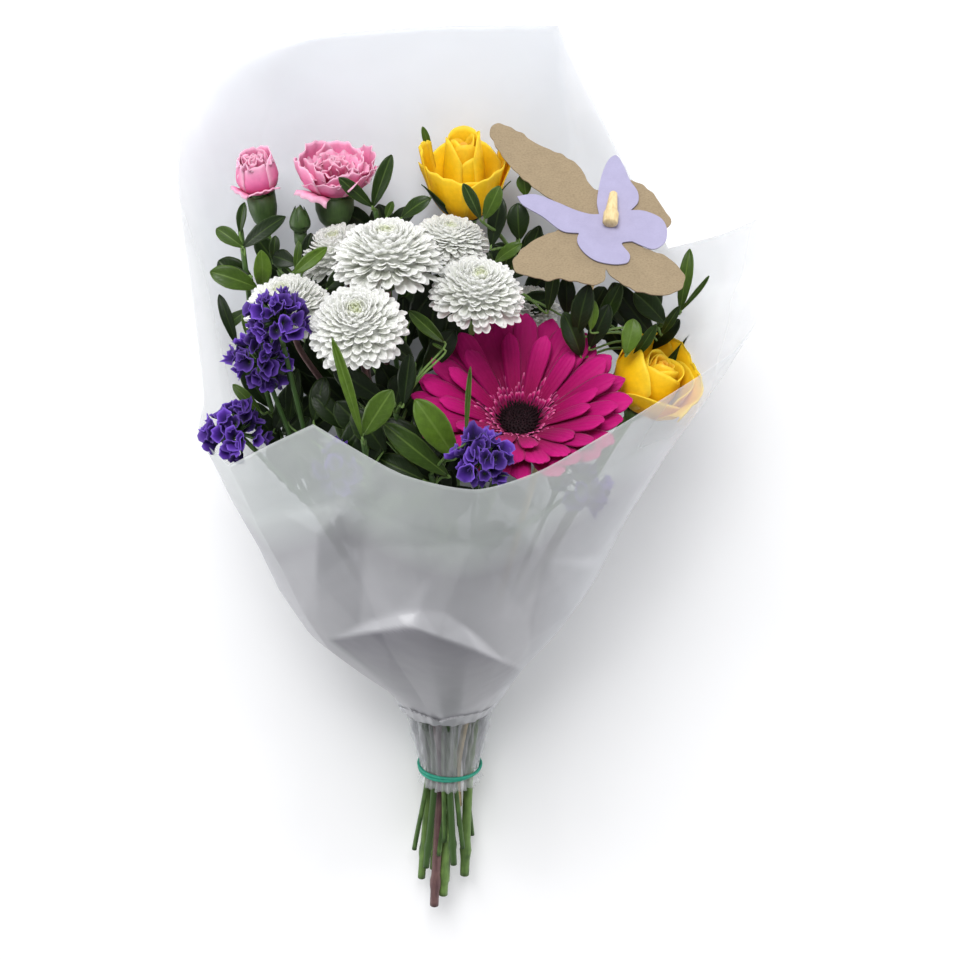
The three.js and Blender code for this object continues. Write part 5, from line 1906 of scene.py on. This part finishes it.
# ---------------------------------------------------------------- wrapper film
@dataclass
class WrapperFilm:
    """The frosted film: gathered into a tube at the tie, opening into a cone with a folded front."""

    palette: Palette
    up: int = 150
    wall: float = 0.3
    neck: tuple[float, float, float, float, float] = (-17.0, -142.0, 23.0, 25.0, 27.0)  # middle, half sizes
    bulge: float = 17.0
    pleats: int = 17
    pleat_depth: Curve = (  # millimetres, by share of the way up
        (0, 1.4), (0.03, 0.3), (0.065, 1.3), (0.14, 2.4), (0.188, 2.0), (0.2, 0.6), (0.3, 0.0),
    )
    seam: float = -62.0  # degrees at which the way round starts
    # The gathered tube: (share of the way up, y, half its width, half its height).
    tube: tuple[tuple[float, float, float, float], ...] = (
        (0, -192, 15.4, 15.4), (0.03, -186, 14.3, 14.3), (0.065, -179, 15.0, 15.0), (0.17, -146, 19.5, 17.5),
        (0.188, -136, 20.5, 18.5),
    )
    tube_end: float = 0.188  # share of the way up where the tube ends
    step_to_neck: float = 0.012
    neck_up: float = 0.2  # share of the way up where the neck is
    rim: tuple[Point, ...] = (
        (36, 204, 0), (63, 151, 15), (87, 111, 45), (110, 127, 70), (131, 147, 95), (127, 115, 118),
        (109, 98, 140), (60, 70, 155), (26, 51, 160), (-2, 42, 160), (-34, 48, 157), (-72, 66, 145),
        (-92, 52, 135), (-112, 35, 120), (-129, 36, 88), (-130, 42, 55), (-135, 89, 40),
        (-140, 139, 30), (-138, 161, 25), (-133, 176, 17), (-122, 188, 10), (-104, 194, 4),
        (-69, 200, 0), (-14, 204, 0),
    )
    corners: tuple[int, ...] = (0, 2, 4, 11, 13)  # points of the rim where its edge turns sharply
    columns: tuple[int, ...] = (10,) * 4 + (16,) * 12 + (8,) * 8  # faces between the points of the rim
    # How far its sides swell: (share of the way from neck to rim, left, right, low right).
    sides: tuple[tuple[float, float, float, float], ...] = (
        (0, 0, 0, 0), (0.08, -3, 0, 0), (0.16, -1, 0, 2), (0.25, 8, 4, 7), (0.35, 17, 5, 9),
        (0.5, 15.5, -1, 5), (0.65, 9.5, -4, 6), (0.8, 6.5, -5, 11), (0.9, 3, -4, 9), (1, 0, 0, 0),
    )
    # Folds of the front panel: (picture x, picture y, millimetres towards the camera).
    relief: tuple[Point, ...] = (
        (205, 400, 0), (230, 467, 0), (270, 445, 0), (312, 425, 0), (400, 470, 0), (475, 490, 0),
        (540, 470, 0), (620, 425, 0), (680, 388, 0), (735, 352, 0), (774, 295, 0), (782, 207, 0),
        (219, 476, 1), (245, 526, 2), (275, 584, 2), (298, 625, 1), (322, 645, 0), (358, 677, -2),
        (392, 703, -3), (438, 721, -4), (482, 712, -3), (520, 690, 0), (560, 652, 3), (584, 625, 3),
        (622, 555, 3), (657, 468, 2), (712, 385, 1), (256, 525, -1), (280, 573, -2), (300, 622, 0),
        (330, 640, 0), (280, 513, 3), (298, 522, 6), (318, 535, 9), (316, 580, 8), (318, 618, 4),
        (360, 625, 4), (395, 613, 6), (421, 610, 7), (446, 613, 6), (463, 625, 4), (480, 639, 2),
        (501, 658, 0), (530, 673, -3), (370, 633, 10), (405, 628, 16), (416, 629, 17), (440, 638, 15),
        (478, 651, 10), (505, 663, 4), (360, 661, 0), (392, 688, -2), (421, 711, -4), (462, 711, -4),
        (500, 689, -2), (365, 543, 0), (420, 546, -1), (473, 543, 0), (420, 524, 1), (365, 520, 1),
        (473, 524, 1), (514, 523, 5), (538, 490, 2), (430, 575, 1), (619, 554, 2), (597, 570, 9),
        (574, 612, 10), (558, 641, 6), (545, 560, 1), (530, 620, 0), (602, 590, 2), (588, 606, 1),
        (352, 500, 3), (388, 652, 10), (465, 668, 7), (428, 664, 8), (436, 690, 0),
    )
    # The facet where the film lies double is also painted dark as shade, darkest at the lip; facet_shade
    # gives how dark that painted shade is.
    facet: Curve = (  # picture outline of the part that lies double
        (330, 640), (370, 633), (405, 628), (416, 629), (440, 638), (478, 651), (530, 673), (500, 690),
        (462, 713), (438, 722), (421, 714), (392, 690), (360, 663),
    )
    facet_fade: float = 5.0  # picture points over which its edge fades
    facet_shade: Curve = ((640, 0.8), (715, 0.15))  # how dark it is, at two heights of the picture
    folds: tuple[tuple[int, int], ...] = (  # lines between the numbered points of relief
        (1, 27), (27, 28), (28, 29), (29, 30), (1, 31), (31, 32), (32, 33), (33, 34), (34, 35),
        (35, 30), (30, 36), (36, 37), (37, 38), (38, 39), (39, 40), (40, 41), (41, 42), (42, 43),
        (30, 44), (44, 45), (45, 46), (46, 47), (47, 48), (48, 49), (49, 43), (30, 50), (50, 51),
        (51, 52), (52, 53), (53, 54), (54, 43), (55, 56), (56, 57), (64, 65), (65, 66), (66, 67),
        (67, 43),
    )

    def rim_points(self, turn: Array) -> Array:
        """Points of the rim.

        Args:
            turn: Shares of the way round.

        Returns:
            A point for each.
        """
        knots = np.array(self.rim, float)
        count = len(knots)
        at = (turn % 1.0) * count
        index = at.astype(int) % count
        t = (at - np.floor(at))[:, None]
        before, here = knots[(index - 1) % count], knots[index]
        after, beyond = knots[(index + 1) % count], knots[(index + 2) % count]
        turned = np.isin(np.arange(count), self.corners)
        leave = np.where(turned[index][:, None], 0.7 * (after - here), 0.35 * (after - before))
        arrive = np.where(turned[(index + 1) % count][:, None], 0.7 * (after - here), 0.35 * (beyond - here))
        rest = -3 * here + 3 * after - 2 * leave - arrive
        cube = 2 * here - 2 * after + leave + arrive
        return here + leave * t + rest * t**2 + cube * t**3

    def heading(self, turn: Array) -> tuple[Array, Array]:
        """The cosine and the sine of the way out from the film's middle, at shares of the way round."""
        angle = np.radians(self.seam + 360 * turn)
        return np.cos(angle), np.sin(angle)

    def surface(self, turn: Array, up: Array) -> Array:
        """The film without its folds.

        Args:
            turn: Shares of the way round.
            up: 0 at the tube's end, neck_up at the neck, 1 at the rim.

        Returns:
            A point for each.
        """
        cosine, sine = self.heading(turn)
        places, *tracks = zip(*self.tube)
        tube_y, wide_at, high_at = (np.interp(up, places, track) for track in tracks)
        lift = read_curve(((self.tube[2][0], 0), (self.tube_end, 3)), up)
        tube = np.column_stack((TIE[0] + wide_at * cosine, tube_y, TIE[2] + lift + high_at * sine))
        x, y, z, wide, high = self.neck
        neck = np.column_stack((x + wide * cosine, np.full_like(turn, y), z + high * sine))
        to_neck = np.clip((up - self.tube_end) / self.step_to_neck, 0, 1)[:, None]
        lower = tube * (1 - to_neck) + neck * to_neck
        share = np.clip((up - self.neck_up) / (1 - self.neck_up), 0, 1)
        upper = neck * (1 - share[:, None]) + self.rim_points(turn) * share[:, None]
        places, *swells = zip(*self.sides)
        left, right, low = (np.interp(share, places, swell) for swell in swells)
        raised = smooth(0.02, 0.36, sine)
        upper[:, 0] += np.where(cosine < 0, left, low * (1 - raised) + right * raised) * cosine
        upper[:, 2] += self.bulge * np.sin(math.pi * share**0.8) * sine
        made = np.where((up > self.neck_up)[:, None], upper, lower)
        pleat = np.sin(self.pleats * 2 * math.pi * turn + 2.2 * np.sin(6.28 * turn) + 9 * up) * 0.5 + 0.5
        pleat += 0.5 * np.sin(self.pleats * 3.6 * math.pi * turn + 1.0 + 30 * up)
        pleat += 0.5 * np.sin(40 * math.pi * turn - 75 * up) * np.sin(60 * up + 11 * turn)
        depth = read_curve(self.pleat_depth, up)
        made[:, 0] += pleat * depth * cosine
        made[:, 2] += pleat * depth * sine
        made[:, 2] = np.maximum(made[:, 2], 0.0)
        return made

    def double_layer_shade(self, x: Array, y: Array) -> Array:
        """Where the film lies double under its lip, and is also painted dark as shade there: strongest at the
        lip.

        Args:
            x: Picture x.
            y: Picture y.

        Returns:
            A share for each point.
        """
        inside = np.zeros(len(x), bool)
        near = np.full(len(x), np.inf)
        for (ax, ay), (bx, by) in zip(self.facet, self.facet[1:] + self.facet[:1]):
            inside ^= ((ay > y) != (by > y)) & (x < ax + (bx - ax) * (y - ay) / (by - ay + 1e-9))
            share = ((x - ax) * (bx - ax) + (y - ay) * (by - ay)) / ((bx - ax) ** 2 + (by - ay) ** 2)
            share = np.clip(share, 0, 1)
            near = np.minimum(near, np.hypot(x - ax - share * (bx - ax), y - ay - share * (by - ay)))
        inner = np.clip(0.5 + np.where(inside, near, -near) / self.facet_fade, 0, 1)
        return inner * read_curve(self.facet_shade, y)

    def fold_height(self, x: Array, y: Array) -> Array:
        """How far each picture point of the front panel stands forward.

        Args:
            x: Picture x.
            y: Picture y.

        Returns:
            Millimetres towards the camera.
        """
        spots = [Vector((point[0], point[1])) for point in self.relief]
        corners, _, faces, origins, _, _ = delaunay_2d_cdt(spots, list(self.folds), [], 0, 1e-4)
        known = [[self.relief[i][2] for i in origin] for origin in origins]
        heights = [float(np.mean(values)) if values else 0.0 for values in known]
        made = np.zeros_like(x)
        for face in faces:
            (ax, ay), (bx, by), (cx, cy) = (corners[i] for i in face)
            area = (bx - ax) * (cy - ay) - (cx - ax) * (by - ay)
            if abs(area) < 1e-9:
                continue
            second = ((x - ax) * (cy - ay) - (cx - ax) * (y - ay)) / area
            third = ((bx - ax) * (y - ay) - (x - ax) * (by - ay)) / area
            inside = (second >= -1e-6) & (third >= -1e-6) & (second + third <= 1 + 1e-6)
            a, b, c = (heights[i] for i in face)
            made = np.where(inside, a + second * (b - a) + third * (c - a), made)
        return made

    def build(self) -> None:
        """Builds the film as one thin closed shell."""
        around = sum(self.columns)
        sheet = Bench.sheet(around, self.up)
        stops = np.concatenate(((0.0,), np.cumsum(self.columns) / around))
        turn = np.interp((sheet.u + 1) / 2, stops, np.linspace(0, 1, len(stops)))
        up = read_curve(((0, 0), (0.15, self.neck_up), (0.6, 0.5), (1, 1)), sheet.v)
        points = self.surface(turn, up)
        ray = points - CAMERA
        x, y = in_picture(ray)
        cosine, sine = self.heading(turn)
        height = self.fold_height(x, y) * smooth(-0.5, -0.15, sine) * (up > self.neck_up - 0.001)
        points = points - ray / np.linalg.norm(ray, axis=1)[:, None] * height[:, None]
        points[:, 2] = np.maximum(points[:, 2], 0.0)
        bunch = Bunch()
        # front also marks where the film is painted grey as shade.
        front = smooth(-0.45, 0.05, sine)
        # side marks the strips that are painted lighter.
        side = smooth(0.66, 0.97, np.abs(cosine)) * front
        # tint carries the painted shade of the doubled facet.
        bunch.add(points, sheet.faces, up, side, front, self.double_layer_shade(x, y) * (sine > 0))
        item = bunch.make("wrapper_film_fine", self.palette.film)
        Bench.finish(item, "SOLIDIFY", thickness=self.wall * MM, offset=-1.0)
        place(item, "wrapper_film")


class FilmRoom:
    """The room inside the film."""

    def __init__(self, film: WrapperFilm) -> None:
        """Takes the film's surface without its folds.

        Args:
            film: The film.
        """
        sheet = Bench.sheet(144, 60)
        points = film.surface((sheet.u + 1) / 2, film.neck_up + (1 - film.neck_up) * sheet.v)
        self.tree = BVHTree.FromPolygons(points.tolist(), sheet.faces.tolist())
        middle = Vector((-10.0, 0.0, 60.0))
        near, normal, _, _ = self.tree.find_nearest(middle)
        self.side = math.copysign(1.0, (middle - near).dot(normal))

    def holds(self, point: Array, margin: float) -> bool:
        """Whether a point lies inside, at least a margin away from the film."""
        near, normal, _, _ = self.tree.find_nearest(Vector(point))
        return self.side * (Vector(point) - near).dot(normal) > margin

    def press(self, points: Array, margin: float = 1.2, soft: float = 1.2) -> Array:
        """Presses points back inside, as petals are pressed by the film.

        Args:
            points: The points.
            margin: The least distance kept from the film, in millimetres.
            soft: How gradually the points are pressed, in millimetres.

        Returns:
            The points, all inside.
        """
        pressed = np.array(points, float)
        for number, point in enumerate(points):
            near, normal, _, distance = self.tree.find_nearest(Vector(point))
            depth = self.side * (Vector(point) - near).dot(normal)
            if depth < margin + 5 * soft and abs(depth) > 0.9 * distance:
                wanted = margin + soft * math.log1p(math.exp(min((depth - margin) / soft, 30.0)))
                pressed[number] += (wanted - depth) * self.side * np.array(normal)
        return pressed


# ---------------------------------------------------------------- tie and butterfly
@dataclass
class ElasticTie:
    """The green elastic band, wound twice round the film."""

    palette: Palette
    radius: float = 16.2
    strand: float = 0.86
    sides: int = 10

    def build(self) -> None:
        """Builds the two strands, which cross as they go round."""
        band = Bunch()
        for turn, (offset, lean) in enumerate(((-0.62, 0.35), (0.62, -0.35))):
            angle = np.linspace(0, 2 * math.pi, 121)[:-1]
            height = offset * np.cos(angle + turn) + lean
            reach = self.radius + 0.25 * np.sin(3 * angle + turn)
            path = TIE + np.column_stack((reach * np.cos(angle), height, reach * np.sin(angle)))
            path = np.vstack((path, path[:1]))
            corners, faces, along, across = rod(path, self.strand, self.sides)
            corners[-self.sides:] = corners[:self.sides]
            band.add(corners, faces[:-2], along, across)
        place(band.make("elastic_tie_fine", self.palette.elastic), "elastic_tie")


@dataclass(frozen=True)
class Butterfly:
    """Where the card butterfly is and how its card lies."""

    at: Point = (57, 130, 70)
    facing: Point = (0, 0.766, 0.643)
    card: float = 0.8
    spacing: float = 1.3

    def on_card(self, x: Array, y: Array, height: Array | float) -> Array:
        """Points on the card's plane or off it.

        Args:
            x: How far across each is.
            y: How far up.
            height: How far off the plane.

        Returns:
            The points.
        """
        facing = unit(self.facing)
        across = np.array((1.0, 0.0, 0.0))
        up = np.cross(facing, across)
        x, y, height = np.broadcast_arrays(x, y, height)
        return np.array(self.at) + x[:, None] * across + y[:, None] * up + height[:, None] * facing


# Each outline is a round of smooth curves that meet in corners.
KRAFT_OUTLINE: tuple[Curve, ...] = (
    ((-1, 17.8), (-6.8, 20.9), (-9.9, 27.8), (-12.5, 32.1), (-19.2, 37.5), (-25.6, 40.7), (-32.4, 44.5),
     (-37.8, 49.3), (-44.6, 53.2), (-48.8, 54.8), (-52, 52.6), (-52.4, 48.8), (-49.7, 42.3), (-44.7, 33.7),
     (-37.1, 24.6), (-25.9, 14.6), (-15.6, 8.8), (-8.5, 5.1)),
    ((-8.5, 5.1), (-15.8, 0.9), (-22.5, -2.2), (-32.9, -7.4), (-39.6, -13.6), (-42.3, -18.2), (-41.5, -23.3),
     (-38.4, -24.9), (-34.8, -25.9), (-28.2, -27.9), (-24.7, -27.9), (-21.1, -26.9), (-17.6, -28.4),
     (-14.5, -28.4), (-9.6, -30), (-5.6, -30), (-2.5, -28.9), (-1, -22.3)),
    ((-1, -22.3), (0.7, -25.4), (2.4, -26.9), (9.3, -32), (15.9, -34.5), (24.3, -35.5), (30.1, -33.5),
     (32.8, -31), (33.9, -26.9), (31.4, -21.3), (25, -15.1), (16.6, -11.5), (13.6, -7.4)),
    ((13.6, -7.4), (21.3, -3.2), (26.8, -0.6), (29.1, 1.5), (27.5, 5.6), (24.9, 10.4), (20.6, 17.8),
     (15.8, 22), (10.9, 24.1), (4.5, 20.9), (-1, 17.8)),
)
LILAC_OUTLINE: tuple[Curve, ...] = (
    ((-40.3, 14.8), (-32.7, 15.9), (-22.4, 11.7), (-13.9, 7.5), (-7.2, 5.4), (-3.6, 5.4)),
    ((-3.6, 5.4), (-4.4, 11.1), (-3.8, 16.9), (-1.3, 28.1), (2, 35), (4.8, 36.6), (7.8, 31.8), (10.8, 23.3),
     (14.2, 16.9), (14.1, 11.7), (10.8, 7.5)),
    ((10.8, 7.5), (14.8, 7.5), (18.9, 6.4), (24.6, 2.8), (26.6, -2.4), (25.5, -9.2), (20.5, -12.8),
     (15.6, -11.2), (10.8, -8.7)),
    ((10.8, -8.7), (6.3, -9.7), (9.7, -15.9), (8.7, -19.5), (5.1, -20.5), (1.6, -20.5), (-5.9, -18.5),
     (-11.6, -13.3), (-13.7, -8.2), (-12.8, -4.5)),
    ((-12.8, -4.5), (-19.9, -3.5), (-29.2, 4.3), (-38.1, 10.6), (-40.3, 14.8)),
)


@dataclass
class CardButterfly(Flower):
    """The card butterfly: a kraft card, a lilac card, a wooden peg and the stick behind."""

    plan: Butterfly = Butterfly()

    def card(
        self, kind: str, outline: Sequence[Curve], height: float, material: Material, wave: float
    ) -> None:
        """Builds one die-cut card.

        Args:
            kind: Which card it is.
            outline: Its outline on the card, as curves that meet in corners.
            height: How far off the card's plane it lies.
            material: Its finish.
            wave: How wavy its cut edge is, in millimetres.
        """
        curves = [spline([(*point, 0.0) for point in curve], 1.1)[:-1, :2] for curve in outline]
        line = np.vstack(curves)
        way = np.gradient(line, axis=0)
        normal = np.column_stack((way[:, 1], -way[:, 0])) / np.linalg.norm(way, axis=1)[:, None]
        reach = np.cumsum(np.linalg.norm(way, axis=1))
        line = line + normal * (wave * np.sin(reach * 0.9) * np.sin(reach * 0.13 + 1) ** 2)[:, None]
        points = self.plan.on_card(line[:, 0], line[:, 1], height)
        item = new_item(f"butterfly_{kind}_fine", points, [tuple(range(len(points)))], material)
        depth = Vector(unit(self.plan.facing) * self.plan.card * MM)
        Bench.edit(item, lambda: bpy.ops.mesh.extrude_region_move(TRANSFORM_OT_translate={"value": depth}))
        Bench.recalculate(item)
        corner = math.radians(60)
        Bench.finish(item, "BEVEL", width=0.12 * MM, segments=2, limit_method="ANGLE", angle_limit=corner)
        place(item, f"butterfly_card_{kind}")

    def build(self) -> None:
        """Builds the cards, the peg and the stick."""
        plan = self.plan
        self.card("kraft", KRAFT_OUTLINE, 0.0, self.palette.kraft, 0.35)
        self.card("lilac", LILAC_OUTLINE, plan.spacing, self.palette.lilac, 0.0)
        peg, stick = Bunch(), Bunch()
        foot = plan.on_card(np.array((1.0,)), np.array((-2.0,)), plan.spacing + plan.card + 3.85)[0]
        tip = plan.on_card(np.array((3.0,)), np.array((14.8,)), plan.spacing + plan.card + 3.4)[0]
        profile = (
            (0, 0), (3.1, 0.1), (3.45, 0.6), (3.45, 5.4), (3.1, 6.2), (2.75, 7.0), (2.3, 11.0), (1.85, 15.2),
            (1.75, 16.2), (1.2, 16.8), (0, 16.9),
        )
        peg.add(*Head(tuple(foot), tuple(tip - foot), 3.45).turned(profile, 24))
        place(peg.make("butterfly_peg_fine", self.palette.wood), "butterfly_peg")
        angle = math.radians(330)
        knot = TIE + SLOT_PITCH * np.array((math.cos(angle), 0, math.sin(angle)))
        top = plan.on_card(np.zeros(1), np.zeros(1), -1.15)[0]
        stick.add(*rod(spline([knot - (0, 28, 0), knot, top], 8.0), 1.6, 14))
        place(stick.make("butterfly_stick_fine", self.palette.wood), "butterfly_stick")


# ---------------------------------------------------------------- studio
@dataclass
class Studio:
    """The floor, the light and the camera."""

    palette: Palette
    lights: tuple[tuple[Point, float, float], ...] = (  # place and side in metres, power in watts
        ((-0.35, 3.0, 2.45), 1.8, 160.0), ((-1.6, -0.1, 0.32), 0.7, 14.0), ((1.6, -0.1, 0.32), 0.7, 14.0),
    )
    sky: float = 0.44

    def build(self) -> None:
        """Builds the studio round the bouquet."""
        Bench.clear()
        bpy.ops.mesh.primitive_plane_add(size=8.0, location=(0, 0, -0.0005))
        floor = bpy.context.active_object
        floor.name = "studio_floor"
        floor.data.materials.append(self.palette.floor)
        for at, size, power in self.lights:
            self.area(at, size, power)
        world = bpy.data.worlds.new("studio")
        world.use_nodes = True
        background = world.node_tree.nodes["Background"]
        background.inputs["Color"].default_value = (0.97, 0.98, 1.0, 1.0)
        background.inputs["Strength"].default_value = self.sky
        scene = bpy.context.scene
        scene.world = world
        scene.view_settings.view_transform = "Standard"
        scene.view_settings.look = "None"
        lens = bpy.data.cameras.new("camera")
        lens.lens, lens.sensor_width = LENS_MM, SENSOR_MM
        lens.clip_end = 20.0
        camera = bpy.data.objects.new("camera", lens)
        bpy.context.collection.objects.link(camera)
        columns = ((1, 0, 0), (0, CAMERA_COSINE, -CAMERA_SINE), (0, CAMERA_SINE, CAMERA_COSINE))
        spot = LAYOUT.metres(CAMERA)
        camera.matrix_world = Matrix.Translation(Vector(spot)) @ Matrix(columns).transposed().to_4x4()
        scene.camera = camera

    def area(self, at: Point, size: float, power: float) -> None:
        """Adds a soft square light that looks at the bouquet.

        Args:
            at: Where it hangs, in metres.
            size: Its side in metres.
            power: Its power in watts.
        """
        data = bpy.data.lights.new("softbox", "AREA")
        data.size, data.energy = size, power
        lamp = bpy.data.objects.new("softbox", data)
        bpy.context.collection.objects.link(lamp)
        lamp.location = at
        lamp.rotation_euler = (-Vector(at)).to_track_quat("-Z", "Y").to_euler()


def main() -> None:
    """Builds every piece in order."""
    logging.basicConfig(level=logging.INFO, format="%(name)s %(message)s")
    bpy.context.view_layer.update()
    palette = Palette()
    film = WrapperFilm(palette)
    film.build()
    room = FilmRoom(film)
    ElasticTie(palette).build()
    Gerbera(palette, 11).build()
    Rose(palette, 21, "yellow_rose_top").build()
    Rose(palette, 22, "yellow_rose_right", room, 0.52).build()
    CarnationSpray(palette, 31).build()
    ChrysanthemumSpray(palette, 41, "chrysanthemum_left", (1, 2, 5, 6)).build()
    ChrysanthemumSpray(palette, 42, "chrysanthemum_right", (3, 4, 7)).build()
    Statice(palette, 51).build()
    for number, name in enumerate(SPRIGS):
        Sprig(palette, 61 + number, name, room).build()
    CardButterfly(palette, 81).build()
    Studio(palette).build()


if __name__ == "__main__":
    main()
